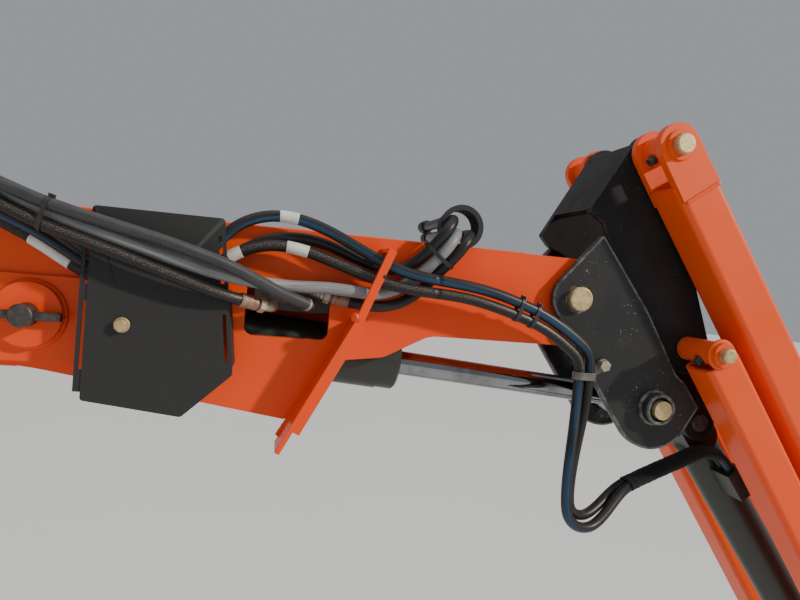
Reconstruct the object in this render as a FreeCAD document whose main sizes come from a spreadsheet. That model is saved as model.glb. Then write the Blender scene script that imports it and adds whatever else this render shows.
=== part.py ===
import FreeCAD, Part
import math
import os
import Sketcher
from FreeCAD import Placement, Rotation, Vector

# Boom nose of an articulating boom lift, with its levelling cylinder, jib knuckle and jib.
# Millimetres. X runs along the boom to the jib, Y away from the side with the hoses, Z up.
# The origin is the centre of the boom tube's rear end.

SIZES = (
    # name, value, what it is
    ("boom_high", 181, "height of the boom tube"),
    ("boom_half", 55, "half the boom's width"),
    ("side_thick", 8, "side plates of the nose"),
    ("top_thick", 8, "top plate and bottom plates"),
    ("pivot_x", 900, "knuckle pivot from the rear end"),
    ("pivot_z", 38, "knuckle pivot above the boom's middle"),
    ("nose_low", 64, "lower edge of the nose below the pivot"),
    ("tip_reach", 58, "round tip in front of the pivot"),
    ("tip_corner", 57, "radius of the round tip"),
    ("throat_back", 192, "end of the straight lower edge behind the pivot"),
    ("mouth_back", 298, "front corner of the cylinder's mouth behind the pivot"),
    ("mouth_low", 101, "front corner of the mouth below the pivot"),
    ("step_back", 364, "foot of the deep part behind the pivot"),
    ("step_low", 178, "foot of the deep part below the pivot"),
    ("neck_back", 250, "rear of the step in the lower edge behind the pivot"),
    ("neck_low", 95, "rear of that step below the pivot"),
    ("belly_back", 660, "where the belly starts to drop, behind the pivot"),
    ("belly_curve", 300, "radius of the belly's bend"),
    ("hole_back", 421, "hand hole's rear edge behind the pivot"),
    ("hole_wide", 100, "hand hole along the boom"),
    ("hole_top", 10, "hand hole's upper edge below the pivot"),
    ("hole_tall", 68, "hand hole's height"),
    ("hole_corner", 10, "hand hole's corners"),
    ("bush_out", 25, "radius of the pivot tube in the nose"),
    ("base_back", 650, "cylinder base pin behind the pivot"),
    ("base_low", 70, "cylinder base pin below the pivot"),
    ("doubler_thick", 6, "doubler round the base pin"),
    ("doubler_rear", 150, "doubler behind the base pin"),
    ("doubler_front", 75, "doubler in front of the base pin"),
    ("doubler_up", 44, "doubler above the base pin"),
    ("boss_out", 36, "radius of the base pin's boss"),
    ("boss_thick", 10, "thickness of the base pin's boss"),
    ("base_pin_reach", 20, "base pin past its boss"),
    ("keeper_r", 5, "keeper rod's radius"),
    ("keeper_long", 76, "keeper rod's length"),
    ("pin_r", 12.7, "cylinder pins and upper link pins"),
    ("main_pin_r", 15.875, "knuckle pivot pin"),
    ("low_pin_r", 9.525, "lower link pins"),
    ("pin_slip", 0.1, "radial clearance at the pins"),
    ("pin_bevel", 1.5, "bevel on a pin's end"),
    ("eye_x", 128, "rod pin in front of the pivot"),
    ("eye_low", 138, "rod pin below the pivot"),
    ("barrel_out", 38, "radius of the levelling cylinder's barrel"),
    ("barrel_in", 31.75, "bore radius of that barrel"),
    ("barrel_end", 430, "front of that barrel from the base pin"),
    ("barrel_start", 44, "rear of that barrel from the base pin"),
    ("rod_r", 16, "radius of that cylinder's rod"),
    ("rod_slip", 0.3, "clearance round a rod in its gland"),
    ("eye_out", 29, "radius of that cylinder's eyes"),
    ("eye_half", 40, "half width of its rod eye"),
    ("rear_eye_half", 45, "half width of its base eye"),
    ("side_gap", 3.5, "knuckle's plates clear of the nose's sides"),
    ("knuckle_plate", 10, "knuckle's plates"),
    ("floor_rear", 148, "knuckle's floor plate from the pivot"),
    ("floor_front", 192, "front of that plate from the pivot"),
    ("jib_lug_rear", 160, "foot of the jib cylinder's lugs from the pivot"),
    ("jib_lug_front", 200, "front of that foot from the pivot"),
    ("shield_pivot_r", 35, "shield round the pivot pin"),
    ("shield_eye_r", 57.5, "shield round the rod pin"),
    ("apex_x", 27.5, "shield's upper corner in front of the pivot"),
    ("apex_z", 86.4, "shield's upper corner above the pivot"),
    ("horn_x", 196, "shield's lower corner in front of the pivot"),
    ("horn_low", 135, "shield's lower corner below the pivot"),
    ("bend_x", 105, "bend in the shield's front edge, in front of the pivot"),
    ("bend_low", 11, "that bend below the pivot"),
    ("notch_x", 170, "notch behind the shield's horn, in front of the pivot"),
    ("notch_low", 101.5, "that notch below the pivot"),
    ("notch_top_x", 156, "top of that notch in front of the pivot"),
    ("notch_top_low", 91.5, "top of that notch below the pivot"),
    ("chin_x", 8, "foot of the near cheek's rear edge in front of the pivot"),
    ("chin_z", 117, "foot of that edge above the pivot"),
    ("chin_in_x", 31, "near cheek's lowest rear corner in front of the pivot"),
    ("chin_in_z", 103.5, "that corner above the pivot"),
    ("far_chin_x", -8, "foot of the far cheek's rear edge in front of the pivot"),
    ("far_chin_z", 88, "foot of that edge above the pivot"),
    ("far_chin_in_x", 6, "far cheek's lowest rear corner in front of the pivot"),
    ("far_chin_in_z", 73, "that corner above the pivot"),
    ("front_top_x", 62, "top of the knuckle's front plate in front of the pivot"),
    ("front_top_z", 212, "top of that plate above the pivot"),
    ("heel_x", 76, "cheek's lower rear corner in front of the pivot"),
    ("heel_low", 84, "that corner below the pivot"),
    ("upper_x", 85.3, "upper link pin in front of the pivot"),
    ("upper_z", 200.6, "upper link pin above the pivot"),
    ("lower_x", 173.6, "lower link pin in front of the pivot"),
    ("lower_low", 54.3, "lower link pin below the pivot"),
    ("head_r", 26, "cheek round the upper link pin"),
    ("heel_r", 36, "cheek round the lower link pin"),
    ("nose_clear", 70, "cheek clear of the nose's tip, from the pivot"),
    ("collar_out", 21, "radius of the rod pin's collar"),
    ("collar_in", 17, "inner radius of that collar"),
    ("collar_reach", 24, "collar past the shield"),
    ("jib_eye_x", 221, "jib cylinder's base pin in front of the pivot"),
    ("jib_eye_low", 162, "jib cylinder's base pin below the pivot"),
    ("jib_eye_half", 30, "half width of the jib cylinder's eyes"),
    ("jib_eye_r", 25, "radius of the jib cylinder's eyes"),
    ("lug_gap", 2, "jib cylinder's lugs clear of its eye"),
    ("jib_barrel_out", 30, "radius of the jib cylinder's barrel"),
    ("jib_barrel_in", 25.4, "bore radius of the jib cylinder"),
    ("jib_barrel_start", 40, "rear of that barrel from its base pin"),
    ("jib_barrel_end", 500, "front of that barrel from its base pin"),
    ("jib_rod_r", 14, "radius of the jib cylinder's rod"),
    ("piston_wide", 30, "pistons' width"),
    ("level_piston", 370, "face of the levelling cylinder's piston from its base pin"),
    ("jib_piston", 255, "face of the jib cylinder's piston from its base pin"),
    ("link_angle", 54.5, "links below the boom's line as they stand"),
    ("link_long", 1150, "links between their pins"),
    ("link_pin_back", 700, "jib cylinder's rod pin along the lower links"),
    ("upper_box", 60, "upper link's square tube"),
    ("upper_inner", 63.5, "inner face of the upper links"),
    ("upper_wall", 6, "wall of the upper links"),
    ("lower_box", 50.8, "lower link's square tube"),
    ("lower_inner", 76, "inner face of the lower links"),
    ("lower_wall", 5, "wall of the lower links"),
    ("lug_thick", 10, "lug plates on the upper links"),
    ("lug_r", 28, "lug's round end"),
    ("lug_foot", 66, "lug's foot from the pin"),
    ("box_start", 44, "upper link's tube from the pin"),
    ("low_box_start", 12, "lower link's tube from the pin"),
    ("lug_ring_r", 19, "ring round the upper pins on the lugs"),
    ("lug_ring_thick", 4, "thickness of that ring"),
    ("low_boss_out", 15.875, "lower link's boss tube"),
    ("low_boss_reach", 8, "that tube past the link's outer face"),
    ("low_boss_gap", 3, "that tube clear of the cheek"),
    ("link_pin_reach", 10, "link pins past what they run in"),
    ("mount_reach", 96, "platform plate in front of its lower pin"),
    ("mount_plate", 16, "platform plate's thickness"),
    ("mount_half_wide", 90, "half the platform plate's width"),
    ("mount_hole_r", 8.5, "platform plate's holes"),
    ("mount_hole_y", 130, "platform plate's holes across"),
    ("mount_hole_z", 180, "platform plate's holes up"),
    ("mount_edge", 32, "platform plate past its holes"),
    ("cover_face", 100, "cover's face from the boom's middle"),
    ("cover_sheet", 3, "cover's sheet"),
    ("cover_rear", 583, "cover's rear edge behind the pivot"),
    ("cover_front", 448, "cover's front edge at its top, behind the pivot"),
    ("cover_waist", 427, "cover's front edge at its widest, behind the pivot"),
    ("cover_waist_low", 119, "that place below the pivot"),
    ("cover_toe", 479, "cover's lowest corner behind the pivot"),
    ("cover_toe_low", 169, "cover's lowest corner below the pivot"),
    ("cover_heel_low", 155, "cover's lower rear corner below the pivot"),
    ("cover_bolt_back", 546, "cover's bolt behind the pivot"),
    ("cover_bolt_low", 71, "cover's bolt below the pivot"),
    ("standoff_r", 10, "cover's standoff"),
    ("guide_foot_back", 374, "hose guide's foot behind the pivot"),
    ("guide_foot_low", 205, "hose guide's foot below the pivot"),
    ("guide_top_back", 295, "hose guide's top behind the pivot"),
    ("guide_top_low", 49, "hose guide's top below the pivot"),
    ("guide_reach", 102, "hose guide's edge from the boom's middle"),
    ("guide_sheet", 6, "hose guide's plate"),
    ("guide_flange", 14, "hose guide's flange"),
    ("bar_top_back", 257, "retainer bar's top behind the pivot"),
    ("bar_top_up", 38, "retainer bar's top above the pivot"),
    ("bar_wide", 10, "retainer bar's width"),
    ("bar_thick", 6, "retainer bar's thickness"),
    ("ring_back", 166, "crossover tube behind the pivot"),
    ("ring_out", 24, "crossover ring's radius"),
    ("ring_wall", 2.5, "crossover ring's wall"),
    ("ring_half", 66, "crossover ring's near end from the boom's middle"),
    ("ring_long", 32, "crossover ring's length"),
    ("ring_lip", 28, "crossover ring's rolled lip"),
    ("ring_lip_wide", 5, "width of that lip"),
    ("hose_r", 6.7, "hydraulic hoses' radius"),
    ("conduit_r", 7, "ribbed conduit's radius"),
    ("cable_r", 7.3, "grey cable's radius"),
    ("hose_plate_x", 20, "hose end plate from the boom's rear end"),
    ("hose_plate_thick", 8, "hose end plate's thickness"),
    ("hose_plate_high", 84, "hose end plate above the boom's top"),
    ("coupling_r", 10, "hose couplings' radius"),
    ("coupling_neck", 8, "radius of their necks in the plate"),
    ("coupling_long", 34, "couplings through the hose end plate"),
    ("ferrule_r", 9, "ferrules' radius"),
    ("ferrule_long", 22, "ferrules' length"),
    ("valve_rear", 488, "valve block's rear face from the boom's rear end"),
    ("valve_front", 584, "valve block's front face from the boom's rear end"),
    ("valve_low", -8, "valve block's underside from the boom's middle"),
    ("valve_high", 56, "valve block's top from the boom's middle"),
    ("valve_deep", 42, "valve block's depth"),
    ("clamp_bolt_x", 42, "hose clamp's bolt in front of the pivot"),
    ("clamp_bolt_low", 84.5, "hose clamp's bolt below the pivot"),
    ("clamp_back", 21, "nearer hose behind that bolt"),
    ("clamp_drop", 14.5, "middle of the band below that bolt"),
    ("clamp_band", 10, "width of the hose clamp's band"),
    ("clamp_sheet", 2.5, "thickness of that band"),
    ("clamp_head", 7.5, "hose clamp's bolt head from its middle to a corner, and its height"),
    ("sleeve_wall", 1.6, "woven sleeve's wall"),
    ("sleeve_slip", 0.6, "woven sleeve clear of its hoses"),
    ("jib_port_seat", 3, "port block's far face inside the barrel's wall"),
    ("port_at", 80, "jib cylinder's port block from its base pin"),
    ("port_run", 14, "hoses' straight run into the port block"),
    ("port_long", 44, "port block's length"),
    ("port_half", 13, "half the port block's height"),
    ("port_reach", 65, "port block's near face from the middle"),
    ("port_inner", 40.5, "inner port from the middle"),
    ("port_pitch", 14.2, "between the two ports"),
    ("window_low", 30, "window in the cover's rear side, its foot below the boom's middle"),
    ("window_high", 62, "that window's top above the boom's middle"),
    ("front_side_top", 12, "top of the cover's front side above the boom's middle"),
)

doc = FreeCAD.newDocument("boom_nose")
sheet = doc.addObject("Spreadsheet::Sheet", "Sizes")
for row, (alias, value, meaning) in enumerate(SIZES, start=1):
    sheet.set("A%d" % row, meaning)
    sheet.set("B%d" % row, str(value))
    sheet.setAlias("B%d" % row, alias)
doc.recompute()


class Dims:
    """The sheet's sizes, read by name."""

    def __getattr__(self, alias):
        return float(sheet.get(alias))


dim = Dims()
ALONG_Y = Rotation(Vector(1, 0, 0), -90)
ARC_SHARE = 0.45
VOLUME_ERROR = 0.01
nodes = []


def bound(alias_text):
    """An expression on the sheet: every word in it that is a size's name gets the sheet's."""
    words = alias_text.replace("(", " ( ").replace(")", " ) ").split()
    names = {alias for alias, value, meaning in SIZES}
    return " ".join("Sizes." + word if word in names else word for word in words)


def point(x_ahead, z_above):
    """A place measured from the knuckle's pivot, in the boom's frame."""
    return (dim.pivot_x + x_ahead, dim.pivot_z + z_above)


def turned(vector, degrees):
    """A vector of the side view turned clockwise, as a rotation about +Y turns it."""
    angle = math.radians(degrees)
    x, z = vector
    return (x * math.cos(angle) + z * math.sin(angle), -x * math.sin(angle) + z * math.cos(angle))


def unit(start, end):
    across, up = end[0] - start[0], end[1] - start[1]
    length = math.hypot(across, up)
    return (across / length, up / length)


def outline(steps):
    """Lines and arcs of a closed outline that is walked counterclockwise.

    Each step is (kind, x, z, radius): a lobe goes round its centre, clockwise where the
    radius is negative, and a corner is rounded to its radius.
    """
    ends = []
    for index, (kind, x, z, radius) in enumerate(steps):
        next_kind, next_x, next_z, next_radius = steps[(index + 1) % len(steps)]
        turn = radius if kind == "lobe" else 0.0
        next_turn = next_radius if next_kind == "lobe" else 0.0
        apart = math.hypot(next_x - x, next_z - z)
        heading = math.atan2(next_z - z, next_x - x) + math.asin((turn - next_turn) / apart)
        right = (math.sin(heading), -math.cos(heading))
        start = (x + turn * right[0], z + turn * right[1])
        end = (next_x + next_turn * right[0], next_z + next_turn * right[1])
        ends.append([start, end])
    arcs = []
    for index, (kind, x, z, radius) in enumerate(steps):
        before, after = ends[index - 1], ends[index]
        if kind == "lobe":
            into = math.atan2(before[1][1] - z, before[1][0] - x)
            out = math.atan2(after[0][1] - z, after[0][0] - x)
            sweep = (out - into) % (2 * math.pi)
            if radius < 0:
                sweep -= 2 * math.pi
            middle = into + sweep / 2
            size = abs(radius)
            arcs.append((before[1], (x + size * math.cos(middle), z + size * math.sin(middle)), after[0]))
        elif radius > 0:
            back = unit((x, z), before[0])
            ahead = unit((x, z), after[1])
            opening = math.acos(max(-1.0, min(1.0, back[0] * ahead[0] + back[1] * ahead[1])))
            reach = radius / math.tan(opening / 2)
            bisector = unit((0.0, 0.0), (back[0] + ahead[0], back[1] + ahead[1]))
            depth = radius / math.sin(opening / 2) - radius
            start = (x + back[0] * reach, z + back[1] * reach)
            end = (x + ahead[0] * reach, z + ahead[1] * reach)
            arcs.append((start, (x + bisector[0] * depth, z + bisector[1] * depth), end))
            before[1] = start
            after[0] = end
        else:
            arcs.append(None)
    edges = []
    for index, ((start, end), arc) in enumerate(zip(ends, arcs)):
        if arc is not None:
            edges.append(arc)
        if math.hypot(end[0] - start[0], end[1] - start[1]) > 1e-6:
            edges.append((start, end))
    return edges


def add_edges(sketch, edges):
    """Puts an outline's lines and arcs into a sketch, every arc counterclockwise."""
    for edge in edges:
        points = [Vector(x, z, 0) for x, z in edge]
        if len(points) == 2:
            sketch.addGeometry(Part.LineSegment(points[0], points[1]))
            continue
        first, middle, last = points
        leftward = (middle - first).cross(last - middle).z > 0
        arc = Part.Arc(first, middle, last) if leftward else Part.Arc(last, middle, first)
        sketch.addGeometry(arc)


def add_circle(sketch, x, z, radius):
    """A circle whose radius is bound to the sheet by an expression."""
    index = sketch.addGeometry(Part.Circle(Vector(x, z, 0), Vector(0, 0, 1), 1.0))
    bound_radius = sketch.addConstraint(Sketcher.Constraint("Radius", index, 1.0))
    sketch.setExpression("Constraints[%d]" % bound_radius, bound(radius))


def plane_of(body, role):
    return next(feature for feature in body.Origin.OriginFeatures if feature.Role == role)


def new_sketch(body, name, role, offset="0"):
    """A sketch on one of the body's own planes, moved off it along the plane's normal."""
    sketch = body.newObject("Sketcher::SketchObject", name)
    sketch.AttachmentSupport = (plane_of(body, role), [""])
    sketch.MapMode = "FlatFace"
    sketch.setExpression("AttachmentOffset.Base.z", bound(offset))
    return sketch


def new_body(label):
    body = doc.addObject("PartDesign::Body", label)
    body.Label = label
    nodes.append(body)
    return body


def pad(body, name, edges, near_y, far_y, circles=()):
    """A pad of a side-view outline from near_y to far_y; the plane's normal points to the viewer."""
    sketch = new_sketch(body, name + "_sketch", "XZ_Plane", "0 - ( %s )" % far_y)
    add_edges(sketch, edges)
    for x, z, radius in circles:
        add_circle(sketch, x, z, radius)
    feature = body.newObject("PartDesign::Pad", name + "_pad")
    feature.Profile = sketch
    feature.setExpression("Length", bound("( %s ) - ( %s )" % (far_y, near_y)))
    return feature


def pocket(body, name, circles, edges=()):
    """Round holes, or an outline, cut through the whole body along Y."""
    sketch = new_sketch(body, name + "_sketch", "XZ_Plane")
    add_edges(sketch, edges)
    for x, z, radius in circles:
        add_circle(sketch, x, z, radius)
    feature = body.newObject("PartDesign::Pocket", name + "_pocket")
    feature.Profile = sketch
    feature.Type = 1
    feature.Midplane = True
    return feature


def side_plate(label, steps, near_y, far_y, circles=()):
    """A flat plate that stands along the boom."""
    body = new_body(label)
    pad(body, label, outline(steps), near_y, far_y, circles)
    return body


def round_bar(name, radius, near_y, far_y, x, z):
    """A round bar along Y."""
    bar = doc.addObject("Part::Cylinder", name)
    bar.Placement = Placement(Vector(x, 0, z), ALONG_Y)
    bar.setExpression("Radius", bound(radius))
    bar.setExpression("Height", bound("( %s ) - ( %s )" % (far_y, near_y)))
    bar.setExpression("Placement.Base.y", bound(near_y))
    return bar


def joined(label, parts):
    """Several solids as one object."""
    whole = doc.addObject("Part::MultiFuse", label)
    whole.Shapes = parts
    return whole


def cut(label, base, tool):
    rest = doc.addObject("Part::Cut", label)
    rest.Base = base
    rest.Tool = tool
    return rest


def node(item, label):
    """Marks a document object as one of the part's own pieces."""
    item.Label = label
    nodes.append(item)
    return item


def pin(label, radius, reach, x, z):
    """A round pin along Y with bevelled ends, the same length to each side."""
    bar = round_bar(label + "_bar", radius, "0 - ( %s )" % reach, reach, x, z)
    bevel = doc.addObject("Part::Chamfer", label)
    bevel.Base = bar
    ends = [number for number, edge in enumerate(bar_edges(bar), start=1) if edge]
    bevel.Edges = [(number, dim.pin_bevel, dim.pin_bevel) for number in ends]
    return node(bevel, label)


def bar_edges(bar):
    """True for each of a bar's edges that is a full circle."""
    doc.recompute()
    return [len(edge.Vertexes) == 1 and edge.Curve.TypeId == "Part::GeomCircle" for edge in bar.Shape.Edges]


def tube_y(label, out_r, in_r, near_y, far_y, x, z):
    """A round tube along Y."""
    outer = round_bar(label + "_outer", out_r, near_y, far_y, x, z)
    inner = round_bar(label + "_inner", in_r, near_y, far_y, x, z)
    return cut(label, outer, inner)


SIDES = (
    # name, whether it is on the near side
    ("near", True),
    ("far", False),
)


def layer(near, inner, outer):
    """The two Y values of a layer between two distances from the boom's middle."""
    if near:
        return "0 - ( %s )" % outer, "0 - ( %s )" % inner
    return inner, outer


# Layers away from the boom's middle plane.
NOSE_IN = "boom_half - side_thick"
CHEEK_IN = "boom_half + side_gap - knuckle_plate"
CHEEK_OUT = "boom_half + side_gap"
SHIELD_OUT = "boom_half + side_gap + knuckle_plate"
BOSS_OUT = "boom_half + doubler_thick + boss_thick"

top_z = dim.boom_high / 2
bottom_z = -dim.boom_high / 2
PIVOT = point(0, 0)
BASE = point(-dim.base_back, -dim.base_low)
EYE = point(dim.eye_x, -dim.eye_low)
UPPER = point(dim.upper_x, dim.upper_z)
LOWER = point(dim.lower_x, -dim.lower_low)
JIB_EYE = point(dim.jib_eye_x, -dim.jib_eye_low)


def nose_sides():
    """Two side plates with a round tip, the near one with the hand hole."""
    steps = [
        ("corner", 0, bottom_z, 0),
        ("corner", PIVOT[0] - dim.belly_back, bottom_z, dim.belly_curve),
        ("corner", *point(-dim.step_back, -dim.step_low), 6),
        ("corner", *point(-dim.mouth_back, -dim.mouth_low), 14),
        ("corner", *point(-dim.neck_back, -dim.neck_low), 30),
        ("corner", *point(-dim.throat_back, -dim.nose_low), 40),
        ("corner", PIVOT[0] + dim.tip_reach, PIVOT[1] - dim.nose_low, dim.tip_corner),
        ("corner", PIVOT[0] + dim.tip_reach, top_z, dim.tip_corner),
        ("corner", 0, top_z, 0),
    ]
    hole_x, hole_z = point(-dim.hole_back, -dim.hole_top - dim.hole_tall)
    hole = [
        ("corner", hole_x, hole_z, dim.hole_corner),
        ("corner", hole_x + dim.hole_wide, hole_z, dim.hole_corner),
        ("corner", hole_x + dim.hole_wide, hole_z + dim.hole_tall, dim.hole_corner),
        ("corner", hole_x, hole_z + dim.hole_tall, dim.hole_corner),
    ]
    for name, near in SIDES:
        circles = ((*PIVOT, "bush_out + pin_slip"), (*BASE, "pin_r + pin_slip"))
        near_y, far_y = layer(near, NOSE_IN, "boom_half")
        body = side_plate("nose_side_" + name, steps, near_y, far_y, circles)
        if near:
            pocket(body, "hand_hole", (), outline(hole))


def nose_plates():
    """Top plate, belly plate and the plate that closes the nose over the cylinder."""
    thick = dim.top_thick
    front = PIVOT[0] - dim.throat_back
    reach_x = PIVOT[0] + dim.tip_reach - dim.tip_corner
    side_plate("nose_top_plate", [
        ("corner", 0, top_z - thick, 0),
        ("corner", reach_x, top_z - thick, 0),
        ("corner", reach_x, top_z, 0),
        ("corner", 0, top_z, 0),
    ], "0 - ( %s )" % NOSE_IN, NOSE_IN)
    belly_x = PIVOT[0] - dim.belly_back
    foot_x, foot_z = point(-dim.step_back - 12, -dim.step_low + 2)
    side_plate("nose_belly_plate", [
        ("corner", 0, bottom_z, 0),
        ("corner", belly_x, bottom_z, dim.belly_curve),
        ("corner", foot_x, foot_z, 0),
        ("corner", foot_x, foot_z + thick, 0),
        ("corner", belly_x, bottom_z + thick, dim.belly_curve),
        ("corner", 0, bottom_z + thick, 0),
    ], "0 - ( %s )" % NOSE_IN, NOSE_IN)
    low_z = PIVOT[1] - dim.nose_low
    side_plate("nose_closing_plate", [
        ("corner", front, low_z, 12),
        ("corner", reach_x, low_z, 0),
        ("corner", reach_x, low_z + thick, 0),
        ("corner", front + 4, low_z + thick, 6),
        ("corner", front - 74, top_z - thick, 0),
        ("corner", front - 84, top_z - thick, 0),
    ], "0 - ( %s )" % NOSE_IN, NOSE_IN)


def nose_bosses():
    """Pivot tube, doublers with a boss round the base pin, and the pin with its keeper."""
    reach = "boom_half + 1"
    bore = "main_pin_r + pin_slip"
    pivot_tube = tube_y("pivot_tube", "bush_out", bore, "0 - ( %s )" % reach, reach, *PIVOT)
    node(pivot_tube, "pivot_tube")
    doubler = [
        ("corner", BASE[0] - dim.doubler_rear, bottom_z + 5, 8),
        ("corner", BASE[0] + dim.doubler_front, bottom_z + 5, 8),
        ("corner", BASE[0] + dim.doubler_front, BASE[1] + dim.doubler_up, 8),
        ("corner", BASE[0] - dim.doubler_rear, BASE[1] + dim.doubler_up, 8),
    ]
    for name, near in SIDES:
        near_y, far_y = layer(near, "boom_half", "boom_half + doubler_thick")
        body = side_plate("base_doubler_" + name, doubler, near_y, far_y)
        near_y, far_y = layer(near, "boom_half", BOSS_OUT)
        round_pad(body, "boss", BASE, "boss_out", near_y, far_y)
        pocket(body, "pin_bore", ((*BASE, "pin_r + pin_slip"),))
    whole_pin = pin("base_pin_blank", "pin_r", BOSS_OUT + " + base_pin_reach", *BASE)
    nodes.remove(whole_pin)
    keeper_y = "0 - ( %s + base_pin_reach / 2 )" % BOSS_OUT
    node(cut("base_pin", whole_pin, keeper("keeper_way", "keeper_r + pin_slip", keeper_y)), "base_pin")
    node(keeper("keeper_rod", "keeper_r", keeper_y), "keeper_rod")


def keeper(name, radius, y_middle):
    """A round rod along X through the base pin's near end."""
    rod = doc.addObject("Part::Cylinder", name)
    rod.Placement = Placement(Vector(0, 0, BASE[1]), Rotation(Vector(0, 1, 0), 90))
    rod.setExpression("Radius", bound(radius))
    rod.setExpression("Height", bound("keeper_long"))
    rod.setExpression("Placement.Base.x", bound("pivot_x - base_back - keeper_long / 2"))
    rod.setExpression("Placement.Base.y", bound(y_middle))
    return rod


def hose_cover():
    """Folded sheet over the hoses: a face away from the boom and two sides back to it, on a standoff."""
    rear = -dim.cover_rear
    face = outline([
        ("corner", *point(rear, -dim.cover_heel_low), 4),
        ("corner", *point(-dim.cover_toe, -dim.cover_toe_low), 6),
        ("corner", *point(-dim.cover_waist, -dim.cover_waist_low), 6),
        ("corner", *point(-dim.cover_front, dim.nose_low - 10), 4),
        ("corner", *point(rear, dim.nose_low - 10), 4),
    ])
    body = new_body("hose_cover")
    near_y, far_y = "0 - cover_face", "cover_sheet - cover_face"
    bolt = point(-dim.cover_bolt_back, -dim.cover_bolt_low)
    pad(body, "cover_face", face, near_y, far_y)
    sheet_thick = dim.cover_sheet
    rear_x = PIVOT[0] + rear
    rear_sides = (
        ("low", PIVOT[1] - dim.cover_heel_low + 6, -dim.window_low),
        ("high", dim.window_high, PIVOT[1] + dim.nose_low - 14),
    )
    waist = point(-dim.cover_waist, -dim.cover_waist_low)
    front = point(-dim.cover_front, dim.nose_low - 10)
    along = unit(waist, front)
    inward = (-along[1] * sheet_thick, along[0] * sheet_thick)
    low = (waist[0] + along[0] * 8, waist[1] + along[1] * 8)
    climb = (dim.front_side_top - waist[1]) / along[1]
    high = (waist[0] + along[0] * climb, waist[1] + along[1] * climb)
    front_side = [
        ("corner", *low, 0),
        ("corner", *high, 0),
        ("corner", high[0] + inward[0], high[1] + inward[1], 0),
        ("corner", low[0] + inward[0], low[1] + inward[1], 0),
    ]
    side_far = "0 - boom_half - doubler_thick"
    for name, foot_z, head_z in rear_sides:
        pad(body, "cover_rear_side_" + name, outline([
            ("corner", rear_x, foot_z, 0),
            ("corner", rear_x + sheet_thick, foot_z, 0),
            ("corner", rear_x + sheet_thick, head_z, 0),
            ("corner", rear_x, head_z, 0),
        ]), near_y, side_far)
    pad(body, "cover_front_side", outline(front_side), near_y, "0 - boom_half")
    pocket(body, "cover_bolt_hole", ((*bolt, "standoff_r / 2"),))
    standoff = round_bar("cover_standoff", "standoff_r", far_y, "0 - boom_half", *bolt)
    node(standoff, "cover_standoff")


def hose_guide():
    """Angle plate that carries the hoses past the nose's step, with a bar that holds them in."""
    foot = point(-dim.guide_foot_back, -dim.guide_foot_low)
    top = point(-dim.guide_top_back, -dim.guide_top_low)
    along = unit(foot, top)
    right = (along[1], -along[0])

    def beside(start, ahead, across):
        x = start[0] + along[0] * ahead + right[0] * across
        return (x, start[1] + along[1] * ahead + right[1] * across)

    def strip(ahead_low, ahead_high, across_low, across_high):
        return outline([
            ("corner", *beside(foot, ahead_low, across_low), 0),
            ("corner", *beside(foot, ahead_low, across_high), 0),
            ("corner", *beside(foot, ahead_high, across_high), 0),
            ("corner", *beside(foot, ahead_high, across_low), 0),
        ])

    length = math.hypot(top[0] - foot[0], top[1] - foot[1])
    body = new_body("hose_guide")
    near_y = "0 - guide_reach"
    pad(body, "guide_web", strip(0, length, 0, dim.guide_sheet), near_y, "0 - boom_half")
    pad(body, "guide_flange", strip(30, length, 0, dim.guide_flange), near_y, "guide_sheet - guide_reach")
    bar_top = point(-dim.bar_top_back, dim.bar_top_up)
    bar_along = unit(top, bar_top)
    bar_right = (bar_along[1], -bar_along[0])
    half = dim.bar_wide / 2

    def bar_strip(start, end):
        return outline([
            ("corner", start[0] - bar_right[0] * half, start[1] - bar_right[1] * half, 0),
            ("corner", start[0] + bar_right[0] * half, start[1] + bar_right[1] * half, 0),
            ("corner", end[0] + bar_right[0] * half, end[1] + bar_right[1] * half, 0),
            ("corner", end[0] - bar_right[0] * half, end[1] - bar_right[1] * half, 0),
        ])

    bar = new_body("retainer_bar")
    head = (bar_top[0] - bar_along[0] * dim.bar_thick, bar_top[1] - bar_along[1] * dim.bar_thick)
    foot_at = beside(foot, length + 0.3, dim.guide_sheet / 2 + 2)
    pad(bar, "bar_length", bar_strip(foot_at, bar_top), near_y, "bar_thick - guide_reach")
    pad(bar, "bar_return", bar_strip(head, bar_top), near_y, "0 - boom_half")


def crossover_tube():
    """Open ring on the boom's top that leads the hoses over it, with a rolled lip at its mouth."""
    x = PIVOT[0] - dim.ring_back
    z = top_z + dim.ring_out
    near_end, far_end = "0 - ring_half", "ring_long - ring_half"
    parts = [
        round_bar("ring_shell", "ring_out", near_end, far_end, x, z),
        round_bar("ring_lip_near", "ring_lip", near_end, near_end + " + ring_lip_wide", x, z),
    ]
    hollow = round_bar("ring_hollow", "ring_out - ring_wall", near_end, far_end, x, z)
    node(cut("crossover_tube", joined("ring_solid", parts), hollow), "crossover_tube")


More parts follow.
